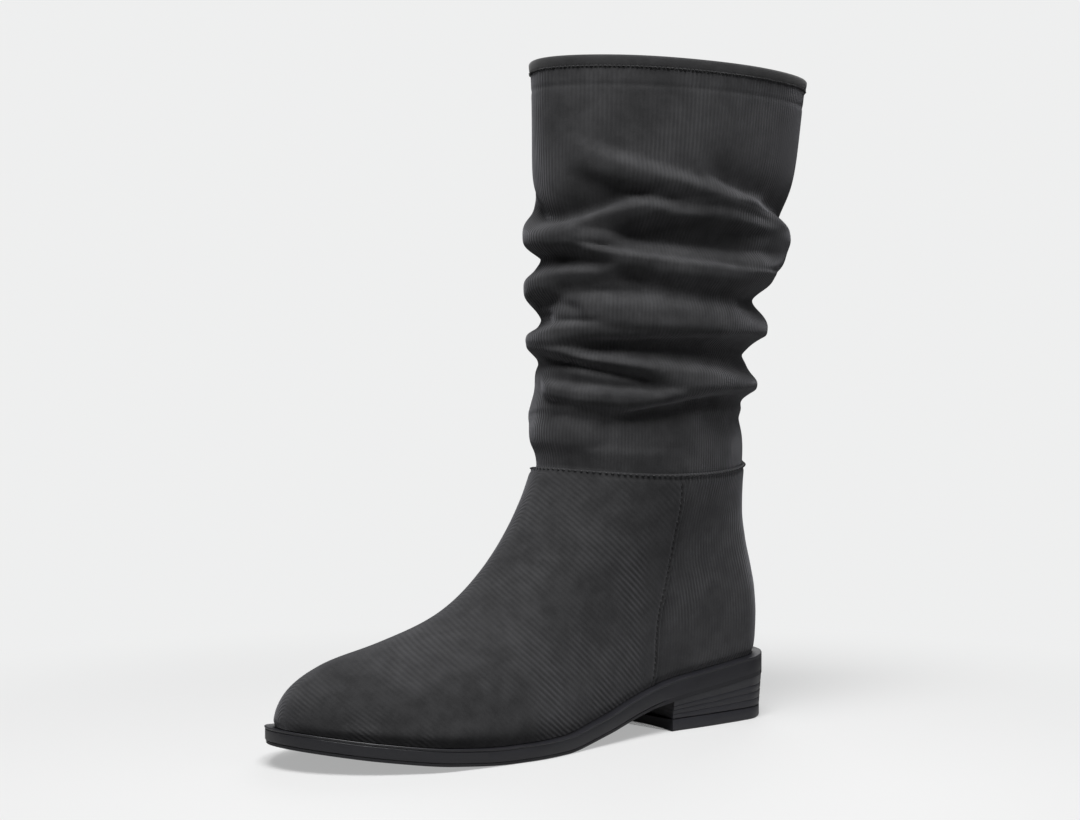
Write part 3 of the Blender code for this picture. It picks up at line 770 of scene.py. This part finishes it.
def outline_ring(bearing, inset, height):
    """A ring on the sole's outline, moved in by the inset, at the height that a function gives for a station."""
    x, y = outline(bearing, inset)
    return np.stack([x, y, height(x)], axis=-1)


def side_bearings(points):
    """Bearings from the back to the front on the outer side, then back again on the inner side."""
    return np.concatenate([np.linspace(0.0, np.pi, points), np.linspace(np.pi, 2 * np.pi, points)[1:-1]])


def sole_rings():
    """The sole unit's edge from its tread to its top: a tread layer, a fine line, an upright wall and a bead.

    The bead runs along the top edge, stands out and up at the toe and dies away by the waist. Under the heel the
    tread layer has no step.
    """
    bearing = side_bearings(SOLE_POINTS)
    station = outline(bearing, 0.0)[0]
    rings = []
    for inset, share, bead in zip(*SOLE_EDGE.values()):
        lip = bead * ease(*BEAD_START, station / SOLE_LENGTH)
        tread = ease(0.0, TREAD_START, (station - HEEL_LENGTH) / SOLE_LENGTH) if share < TREAD_TOP else 1.0
        ring = outline_ring(bearing, inset * tread - BEAD_REACH * lip, underside)
        ring[:, 2] += share * thickness(ring[:, 0]) + BEAD_RISE * np.maximum(lip, 0.0)
        rings.append(ring)
    return np.array(rings)


def heel_ring(share, inset):
    """A ring of the heel, from its top (share 1) to the top piece (share 0), closed across its breast."""
    corner = np.arccos(1 - 2 * HEEL_LENGTH / SOLE_LENGTH)
    side = np.linspace(0.0, corner, HEEL_SIDE_POINTS)
    x, y = outline(side, inset + HEEL_TAPER * (1 - share) + HEEL_STEP)
    across = np.linspace(1.0, 0.0, BREAST_POINTS)[1:]
    y = np.append(y, y[-1] * across)
    x = np.append(x, HEEL_LENGTH - BREAST_CURVE * (1 - across**2))
    top = underside(x) - HEEL_GAP
    low = TOP_PIECE_THICKNESS + CLEARANCE
    half = np.stack([x, y, low + (top - low) * share], axis=-1)
    return np.concatenate([half, (half * [1, -1, 1])[-2:0:-1]])


def stack(name, rings, finish_names, **kept):
    """A solid piece from rings, lowest first, closed by a ladder below and above."""
    count, around = rings.shape[:2]
    faces = quads(count, around)[0].tolist()
    faces += ladder(0, around, False) + ladder((count - 1) * around, around, True)
    return dressed(name, rings, faces, finish_names, **kept)


def evenly(path, outs, pitch, closed):
    """Places at an even pitch along a path, with the way it runs and the way out of the skin at each."""
    if closed:
        path, outs = np.concatenate([path, path[:1]]), np.concatenate([outs, outs[:1]])
    run = run_of(path)
    count = int(run[-1] / pitch)
    at = (np.arange(count) + 0.5) * run[-1] / count

    def read(values, where):
        """Values along the path, read after a run."""
        return np.stack([np.interp(where, run, column) for column in values.T], axis=-1)

    along = read(path, at + pitch / 4) - read(path, at - pitch / 4)
    return read(path, at), unit(along), unit(read(outs, at))


def stitches(name, path, outs, pitch, closed, thread, finish="black_thread"):
    """A row of stitches, each a short length of thread whose ends dive into the suede.

    A stitch is a tube of six sides on five rings. Its radius shrinks with the fourth power of the distance from
    its middle, and its height sinks as the square of it.
    """
    length, radius = thread
    place, along, out = (values[:, None, None] for values in evenly(path, outs, pitch, closed))
    across = np.cross(out, along)
    t = np.array([-1.0, -0.7, 0.0, 0.7, 1.0])[:, None, None]
    turn = (np.arange(6) * np.pi / 3)[:, None]
    girth = radius * (1 - 0.75 * t**4)
    height = radius * (0.35 - 1.1 * t**2)
    points = (
        place
        + along * (length / 2 * t)
        + across * (girth * np.cos(turn))
        + out * (height + girth * np.sin(turn))
    )
    tube = quads(5, 6)[0].tolist() + [list(range(6)), list(range(24, 30))[::-1]]
    faces = [[30 * row + corner for corner in face] for row in range(len(place)) for face in tube]
    return dressed(name, points, faces, [finish], slot="ribbed_suede", angle=60)


def feed(tree, node, values):
    """Feed a node's inputs by name or number, each from another node's socket or with a value of its own."""
    for key, value in values.items():
        if isinstance(value, bpy.types.NodeSocket):
            tree.links.new(value, node.inputs[key])
        else:
            node.inputs[key].default_value = value


def add_node(tree, kind, values=None, **settings):
    """A node of a kind with its settings and its inputs fed."""
    node = tree.nodes.new(kind)
    for key, value in settings.items():
        setattr(node, key, value)
    feed(tree, node, values or {})
    return node


def shader(name):
    """A new material with its node tree, its Principled surface and the piece's own Object coordinates."""
    made = bpy.data.materials.new(name)
    made.use_nodes = True
    tree = made.node_tree
    return made, tree, tree.nodes["Principled BSDF"], add_node(tree, "ShaderNodeTexCoord").outputs["Object"]


def shared_group(name, vectors, values):
    """A shader node group from vectors to values, with its input sockets and its output node."""
    group = bpy.data.node_groups.new(name, "ShaderNodeTree")
    for label in vectors:
        group.interface.new_socket(name=label, in_out="INPUT", socket_type="NodeSocketVector")
    for label in values:
        group.interface.new_socket(name=label, in_out="OUTPUT", socket_type="NodeSocketFloat")
    return group, group.nodes.new("NodeGroupInput").outputs, group.nodes.new("NodeGroupOutput")


def product(tree, first, second):
    """One value times another."""
    return add_node(tree, "ShaderNodeMath", {0: first, 1: second}, operation="MULTIPLY").outputs[0]


def weighed(tree, total, *parts):
    """A total with more values added on, each times its weight."""
    for value, weight in parts:
        values = {0: value, 1: weight, 2: total}
        total = add_node(tree, "ShaderNodeMath", values, operation="MULTIPLY_ADD").outputs[0]
    return total


def noise(tree, vector, scale, detail, roughness=0.5):
    """A noise texture's value on a vector."""
    values = {"Vector": vector, "Scale": scale, "Detail": detail, "Roughness": roughness}
    return add_node(tree, "ShaderNodeTexNoise", values).outputs["Fac"]


def stretch(tree, value, low, high, to_low=0.0, to_high=1.0):
    """A value mapped smoothly from one range to another and held at its ends."""
    values = {"Value": value, "From Min": low, "From Max": high, "To Min": to_low, "To Max": to_high}
    return add_node(tree, "ShaderNodeMapRange", values, interpolation_type="SMOOTHSTEP").outputs["Result"]


def blend_colour(tree, share, low, high):
    """A colour between two, by a share from 0 to 1."""
    values = {"Factor": share, 6: (*low, 1.0), 7: (*high, 1.0)}
    return add_node(tree, "ShaderNodeMix", values, data_type="RGBA").outputs[2]


def bump(tree, height, distance):
    """The normal that a height gives, in shares of a distance."""
    values = {"Height": height, "Distance": distance, "Strength": 1.0}
    return add_node(tree, "ShaderNodeBump", values).outputs["Normal"]


def nap_group():
    """Suede's nap: large patches brushed one way or the other, small smudges, and the fuzz of single hairs."""
    group, given, end = shared_group("suede_nap", ["Vector"], ["Patches", "Smudges", "Fuzz"])
    where = given["Vector"]
    patches = stretch(group, noise(group, where, 28.0, 3.0, 0.55), 0.35, 0.65)
    smudges = stretch(group, noise(group, where, 130.0, 3.0, 0.6), 0.3, 0.7)
    fuzz = noise(group, where, 1500.0, 2.0, 0.6)
    feed(group, end, {"Patches": patches, "Smudges": smudges, "Fuzz": fuzz})
    return group


def rib_group():
    """Fine round ribs along a UV map's first count: half of one plus its sine, wandering a little."""
    group, given, end = shared_group("fine_ribs", ["Count", "Vector"], ["Ridge"])
    split = add_node(group, "ShaderNodeSeparateXYZ", {0: given["Count"]})
    count = weighed(group, split.outputs["X"], (noise(group, given["Vector"], 90.0, 2.0), 0.3))
    wave = add_node(group, "ShaderNodeMath", {0: product(group, count, 2 * np.pi)}, operation="SINE")
    feed(group, end, {"Ridge": weighed(group, 0.5, (wave.outputs[0], 0.5))})
    return group


def suede_surface(tree, surface, colour, normal, roughness):
    """What every suede has: a rough face with little gloss and the sheen of its nap."""
    values = {"Base Color": colour, "Normal": normal, "Roughness": roughness, "Specular IOR Level": 0.25}
    sheen = bpy.context.scene.boot_upper.nap_sheen
    feed(tree, surface, {**values, "Sheen Weight": sheen, "Sheen Roughness": 0.45})


def ribbed_suede(name, nap, ribs, shade):
    """Charcoal suede with fine ribs that the nap smudges away in patches, at a share of its full tone."""
    sizes = bpy.context.scene.boot_upper
    tree, surface, where = shader(name)[1:]
    count = add_node(tree, "ShaderNodeUVMap", uv_map="ribs").outputs["UV"]
    napped = add_node(tree, "ShaderNodeGroup", {"Vector": where}, node_tree=nap).outputs
    ribbed = add_node(tree, "ShaderNodeGroup", {"Vector": where, "Count": count}, node_tree=ribs).outputs["Ridge"]
    patches, smudges, fuzz = napped["Patches"], napped["Smudges"], napped["Fuzz"]
    ridge = product(tree, ribbed, weighed(tree, 0.1, (patches, 0.9)))
    # The ribs' ridge in the tone lightens the rib tops and darkens the rib valleys: painted shade over the bumped
    # relief. Patches, smudges and fuzz are the nap's own uneven tone.
    tone = weighed(tree, 0.05, (ridge, 0.22), (patches, 0.18), (smudges, 0.24), (fuzz, 0.30))
    # A shade under one makes a darker copy of the same suede, as painted shade.
    light = shade * np.array(sizes.suede_colour)
    normal = bump(tree, weighed(tree, ridge, (fuzz, 0.35)), sizes.rib_depth)
    suede_surface(tree, surface, blend_colour(tree, tone, light * 0.4, light * 1.9), normal, 0.92)
    feed(tree, surface, {"Sheen Tint": (0.80, 0.80, 0.86, 1.0)})


def plain_suede(nap):
    """The binding's suede: the same nap without ribs."""
    tree, surface, where = shader("plain_charcoal_suede")[1:]
    napped = add_node(tree, "ShaderNodeGroup", {"Vector": where}, node_tree=nap).outputs
    tone = weighed(tree, 0.1, (napped["Smudges"], 0.4), (napped["Fuzz"], 0.4))
    light = np.array(bpy.context.scene.boot_upper.suede_colour)
    normal = bump(tree, napped["Fuzz"], 0.0001)
    suede_surface(tree, surface, blend_colour(tree, tone, light * 0.7, light * 1.6), normal, 0.9)


def thread_finish():
    """Black sewing thread, with the twist of its strands."""
    tree, surface, where = shader("black_thread")[1:]
    twist = noise(tree, where, 2500.0, 2.0)
    colour = blend_colour(tree, twist, (0.006, 0.006, 0.007), (0.022, 0.022, 0.024))
    feed(tree, surface, {"Base Color": colour, "Roughness": 0.55, "Normal": bump(tree, twist, 0.00005)})


def moulded_rubber(name, colour, roughness):
    """Moulded or polished black rubber: faint clouding, wear in its gloss and a soft texture."""
    tree, surface, where = shader(name)[1:]
    clouds = noise(tree, where, 60.0, 4.0, 0.6)
    grain = noise(tree, where, 1800.0, 2.0, 0.6)
    gloss = stretch(tree, clouds, 0.3, 0.7, roughness - 0.05, roughness + 0.07)
    base = blend_colour(tree, clouds, 0.8 * colour, 1.2 * colour)
    feed(tree, surface, {"Base Color": base, "Roughness": gloss, "Normal": bump(tree, grain, 0.00003)})


def lining_cloth(nap):
    """The knitted lining and sock inside: near black, with a fine texture."""
    tree, surface, where = shader("black_lining_cloth")[1:]
    fuzz = add_node(tree, "ShaderNodeGroup", {"Vector": where}, node_tree=nap).outputs["Fuzz"]
    colour = blend_colour(tree, fuzz, (0.010, 0.010, 0.011), (0.035, 0.035, 0.037))
    feed(tree, surface, {"Base Color": colour, "Roughness": 0.85, "Normal": bump(tree, fuzz, 0.00012)})


def backdrop_strength(tree):
    """1 where the camera looks straight at the backdrop, and the dome's strength where the backdrop lights."""
    seen = tree.nodes.new("ShaderNodeLightPath").outputs["Is Camera Ray"]
    return stretch(tree, seen, 0.0, 1.0, bpy.context.scene.boot_stage.dome_strength, 1.0)


def studio_floor():
    """A pale floor round the boot that turns into an even glow with the distance, so that it has no horizon."""
    made, tree, surface, where = shader("pale_floor")
    away = add_node(tree, "ShaderNodeVectorMath", {0: where, 1: FLOOR_MIDDLE}, operation="DISTANCE")
    share = stretch(tree, away.outputs["Value"], FLOOR_NEAR, FLOOR_FAR, FLOOR_GLOW, 1.0)
    feed(tree, surface, {"Base Color": FLOOR_COLOUR, "Roughness": 0.6, "Specular IOR Level": 0.2})
    glow = add_node(tree, "ShaderNodeEmission", {"Color": BACKDROP, "Strength": backdrop_strength(tree)})
    mixed = add_node(tree, "ShaderNodeMixShader", {0: share, 1: surface.outputs[0], 2: glow.outputs[0]})
    feed(tree, tree.nodes["Material Output"], {"Surface": mixed.outputs[0]})
    return made


def finishes():
    """Every finish of the boot by name, made once."""
    kept = bpy.data.materials
    if "ribbed_charcoal_suede" not in kept:
        nap, ribs = nap_group(), rib_group()
        ribbed_suede("ribbed_charcoal_suede", nap, ribs, 1.0)
        # The vamp gets a copy of the ribbed suede at 0.82 of its tone: painted shade on the upturned vamp, which
        # the overhead key lights too brightly.
        ribbed_suede("vamp_suede_painted_shade", nap, ribs, 0.82)
        plain_suede(nap)
        thread_finish()
        rubber = np.array(bpy.context.scene.boot_sole.rubber_colour)
        moulded_rubber("satin_sole_rubber", rubber, 0.45)
        # The heel takes the sole's rubber at 1.4 times its colour: painted light, a lit copy of the same rubber.
        moulded_rubber("heel_rubber_painted_light", 1.4 * rubber, 0.45)
        # The tread layer and the underside take the rubber at 0.8 of its colour: painted shade along the sole's
        # bottom band.
        moulded_rubber("tread_painted_shade_rubber", 0.8 * rubber, 0.6)
        lining_cloth(nap)
    return kept


def length_size(name, description, default, precision=4):
    """A length in metres that a user may change."""
    return bpy.props.FloatProperty(
        name=name, description=description, default=default, unit="LENGTH", precision=precision
    )


def colour_size(name, description, default):
    """A colour that a user may change."""
    return bpy.props.FloatVectorProperty(
        name=name, description=description, default=default, subtype="COLOR", min=0.0, max=1.0
    )


class BootUpperSizes(bpy.types.PropertyGroup):
    """What a user would change on the upper."""

    fold_depth: length_size("Fold depth", "How far a full fold of the shaft stands out", 0.0075)
    ripple: length_size("Ripple", "Gentle unevenness of the leg between its folds", 0.0005)
    rib_pitch: length_size("Rib pitch", "Distance from one rib of the suede to the next", 0.0019)
    rib_depth: length_size("Rib depth", "Height of a rib over its valley", 0.00022, 5)
    stitch_pitch: length_size("Stitch pitch", "Distance from one stitch to the next along the seams", 0.0028)
    suede_colour: colour_size("Suede", "Colour of the suede", (0.034, 0.034, 0.0355))
    nap_sheen: bpy.props.FloatProperty(
        name="Nap sheen",
        description="How much light the nap catches at a grazing look",
        default=0.25,
        subtype="FACTOR",
        min=0.0,
        max=1.0,
    )


class BootSoleSizes(bpy.types.PropertyGroup):
    """What a user would change on the sole and heel."""

    groove_depth: length_size("Groove depth", "Depth of the fine grooves round the heel", 0.00022, 5)
    rubber_colour: colour_size("Rubber", "Colour of the sole and heel", (0.016, 0.016, 0.020))


class BootStageSizes(bpy.types.PropertyGroup):
    """What a user would change on the stage."""

    key_power: bpy.props.FloatProperty(
        name="Key power",
        description="Power of the large overhead light",
        default=9.0,
        unit="POWER",
    )
    dome_strength: bpy.props.FloatProperty(
        name="Dome",
        description="Strength of the even light from all round",
        default=0.10,
        min=0.0,
    )


class BOOT_OT_foot(bpy.types.Operator):
    """Make the vamp and back quarter"""

    bl_idname = "boot.foot"
    bl_label = "Foot"

    def execute(self, context):
        sizes = context.scene.boot_upper
        rings, outer_rings, base, out, ahead = foot()
        faces, uv, finish_of = foot_faces(rings, outer_rings, sizes.rib_pitch)
        # The third finish is the vamp's darker copy of the suede, painted shade.
        finish = ["ribbed_charcoal_suede", "black_lining_cloth", "vamp_suede_painted_shade"]
        dressed(
            "foot", rings, faces.tolist(), finish,
            node="foot_upper", slot="ribbed_suede", uv=uv, finish_of=finish_of,
        )
        rows = np.arange(3, outer_rings - 3)
        for name, side in (("outer", 1), ("inner", -1)):
            columns = side * np.arange(QUARTER_COLUMNS, QUARTER_COLUMNS + SEAM_SEARCH)
            first = np.sum(ahead[rows][:, columns] < STITCH_INSET, axis=1)
            near, far = columns[first - 1], columns[first]
            share = (STITCH_INSET - ahead[rows, near]) / (ahead[rows, far] - ahead[rows, near])
            path = rings[rows, near] + share[:, None] * (rings[rows, far] - rings[rows, near])
            stitches(f"{name}_seam_stitches", path, out[rows, near], sizes.stitch_pitch, False, SEAM_THREAD)
        row = int(np.sum(np.abs(base[-1:, :, 2] - base[..., 2]).mean(axis=1) > STITCH_INSET))
        stitches("ankle_stitches", rings[row], out[row], sizes.stitch_pitch, True, ANKLE_THREAD)
        return {"FINISHED"}


class BOOT_OT_shaft(bpy.types.Operator):
    """Make the slouched leg"""

    bl_idname = "boot.shaft"
    bl_label = "Shaft"

    def execute(self, context):
        pitch = context.scene.boot_upper.rib_pitch
        rings, outer_rings = shaft_rings()
        count, around = rings.shape[:2]
        faces, ring, column = quads(count, around, closed=True)
        bearing = np.linspace(0.0, 2 * np.pi, around + 1)[None, :]
        run = run_of(shaft_form(bearing, np.array([[RIBS_COUNTED_UP]]))[0])[0]
        rib = np.round(run[-1] / pitch) * run / run[-1]
        uv = np.stack([rib[column], rings[ring, column % around, 2] / pitch], axis=-1)
        lined = (ring[:, 1] >= outer_rings).astype(int)
        dressed(
            "leg", rings, faces.tolist(), ["ribbed_charcoal_suede", "black_lining_cloth"],
            node="shaft", slot="ribbed_suede", uv=uv, finish_of=lined,
        )
        return {"FINISHED"}


class BOOT_OT_collar(bpy.types.Operator):
    """Make the collar's binding and its stitches"""

    bl_idname = "boot.collar"
    bl_label = "Collar binding"

    def execute(self, context):
        rings, out = binding_rings()
        suede = "plain_charcoal_suede"
        faces = quads(*rings.shape[:2], closed=True)[0].tolist()
        dressed("binding", rings, faces, [suede], node="collar_binding", slot="binding")
        path = rings[BINDING_STITCHED_RING] + BINDING_STITCH_OUT * out
        stitches("collar_stitches", path, out, BINDING_PITCH, True, COLLAR_THREAD, suede)
        return {"FINISHED"}


class BOOT_OT_sole(bpy.types.Operator):
    """Make the sole unit and the insole"""

    bl_idname = "boot.sole"
    bl_label = "Sole"

    def execute(self, context):
        rings = sole_rings()
        count, around = rings.shape[:2]
        edge = (count - 1) * around
        layer = np.zeros(edge + 2 * (around // 2), int)
        # The tread layer's rings and the underside's rungs get the darker rubber, painted shade.
        layer[: TREAD_RINGS * around] = 1
        layer[edge : edge + around // 2] = 1
        stack(
            "sole", rings, ["satin_sole_rubber", "tread_painted_shade_rubber"],
            node="outsole", slot="sole_rubber", finish_of=layer, angle=35,
        )
        bearing = side_bearings(SOCK_POINTS)
        inset = FEATHER_INSET + WALL + INSOLE_GAP
        top = CLEARANCE + INSOLE_THICKNESS
        sock = [outline_ring(bearing, inset + step, sole_top) + [0, 0, top - drop] for step, drop in SOCK_EDGE]
        stack("sock", np.array(sock), ["black_lining_cloth"], node="insole", slot="sock_lining")
        return {"FINISHED"}


class BOOT_OT_heel(bpy.types.Operator):
    """Make the stacked heel and its top piece"""

    bl_idname = "boot.heel"
    bl_label = "Heel"

    def execute(self, context):
        depth = context.scene.boot_sole.groove_depth
        rise = SEAT_HEIGHT - SEAT_THICKNESS - TOP_PIECE_THICKNESS
        rings = [heel_ring(share, inset) for share, inset in HEEL_EDGE]
        for groove in GROOVES:
            for off in (-1.0, -0.5, 0.0, 0.5, 1.0):
                rings.append(heel_ring(groove + off * GROOVE_REACH / rise, depth * (1 - abs(off))))
        rings.append(heel_ring(1.0, 0.0))
        top_piece = [heel_ring(0.0, inset) * [1, 1, 0] + [0, 0, z] for inset, z in TOP_PIECE_EDGE]
        # Both heel pieces wear the lighter copy of the sole's rubber, painted light.
        for name, made, node in (("heel", rings, "heel_block"), ("heel_top", top_piece, "heel_top_piece")):
            stack(name, np.array(made), ["heel_rubber_painted_light"], node=node, slot="heel_rubber", angle=35)
        return {"FINISHED"}


class BOOT_OT_stage(bpy.types.Operator):
    """Make the floor, the lights and the photograph's camera"""

    bl_idname = "boot.stage"
    bl_label = "Stage"

    def execute(self, context):
        scene = context.scene
        turn = all_round(FLOOR_COLUMNS)
        radii = np.array(FLOOR_RADII)[:, None]
        rim = np.stack([radii * np.cos(turn), radii * np.sin(turn), 0 * radii * turn], axis=-1)
        faces = quads(len(FLOOR_RADII), FLOOR_COLUMNS)[0][:, ::-1].tolist() + [list(range(FLOOR_COLUMNS))]
        mesh = bpy.data.meshes.new("floor")
        mesh.from_pydata(rim.reshape(-1, 3).tolist(), [], faces)
        mesh.materials.append(studio_floor())
        floor = bpy.data.objects.new("floor", mesh)
        scene.collection.objects.link(floor)
        scene.world = bpy.data.worlds.new("studio")
        scene.world.use_nodes = True
        tree = scene.world.node_tree
        feed(tree, tree.nodes["Background"], {"Color": BACKDROP, "Strength": backdrop_strength(tree)})
        scene.view_settings.view_transform = "Standard"
        for name, (place, size, share) in LIGHTS.items():
            lamp = bpy.data.lights.new(name, "AREA")
            lamp.size = size
            lamp.energy = scene.boot_stage.key_power * share
            holder = bpy.data.objects.new(name, lamp)
            holder.location = place
            holder.rotation_euler = (Vector(LIGHT_AIM) - Vector(place)).to_track_quat("-Z", "Y").to_euler()
            scene.collection.objects.link(holder)
        yaw, pitch = np.radians(CAMERA_YAW), np.radians(CAMERA_PITCH)
        towards = np.array([np.sin(yaw), np.cos(yaw), 0.0])
        right = np.array([-np.cos(yaw), np.sin(yaw), 0.0])
        place = towards * CAMERA_DISTANCE + right * CAMERA_SIDE + np.array([0.0, 0.0, CAMERA_HEIGHT])
        forward = -towards * np.cos(pitch) - np.array([0.0, 0.0, np.sin(pitch)])
        upward = np.cross(right, forward)
        look = unit(forward * FOCAL_PIXELS + right * BOOT_RIGHT_PIXELS - upward * BOOT_DOWN_PIXELS)
        right = unit(np.cross(look, [0.0, 0.0, 1.0]))
        upward = np.cross(right, look)
        eye = bpy.data.cameras.new("photo_camera")
        eye.sensor_width = SENSOR_WIDTH
        eye.lens = FOCAL_PIXELS * SENSOR_WIDTH / PICTURE_WIDTH
        camera = bpy.data.objects.new("photo_camera", eye)
        turned = Matrix((right, upward, -look)).transposed().to_4x4()
        camera.matrix_world = Matrix.Translation(place) @ turned
        scene.collection.objects.link(camera)
        scene.camera = camera
        return {"FINISHED"}


class BOOT_PT_panel(bpy.types.Panel):
    """Lists the boot's sizes and pieces in the sidebar"""

    bl_idname = "BOOT_PT_panel"
    bl_label = "Slouch boot"
    bl_space_type = "VIEW_3D"
    bl_region_type = "UI"
    bl_category = "Slouch boot"

    def draw(self, context):
        for group in (context.scene.boot_upper, context.scene.boot_sole, context.scene.boot_stage):
            box = self.layout.box()
            for name in type(group).__annotations__:
                box.prop(group, name)
        for operator in OPERATORS:
            self.layout.operator(operator.bl_idname)


GROUPS = {"boot_upper": BootUpperSizes, "boot_sole": BootSoleSizes, "boot_stage": BootStageSizes}
OPERATORS = (BOOT_OT_stage, BOOT_OT_foot, BOOT_OT_shaft, BOOT_OT_collar, BOOT_OT_sole, BOOT_OT_heel)


def register():
    """Registers the sizes, the operators and the panel."""
    for name, group in GROUPS.items():
        bpy.utils.register_class(group)
        setattr(bpy.types.Scene, name, bpy.props.PointerProperty(type=group))
    for part in (*OPERATORS, BOOT_PT_panel):
        bpy.utils.register_class(part)


def unregister():
    """Takes back what register added."""
    for part in (BOOT_PT_panel, *reversed(OPERATORS)):
        bpy.utils.unregister_class(part)
    for name, group in reversed(list(GROUPS.items())):
        delattr(bpy.types.Scene, name)
        bpy.utils.unregister_class(group)


def main():
    """Makes every piece and the stage."""
    register()
    bpy.ops.boot.stage()
    bpy.ops.boot.foot()
    bpy.ops.boot.shaft()
    bpy.ops.boot.collar()
    bpy.ops.boot.sole()
    bpy.ops.boot.heel()


if __name__ == "__main__":
    main()
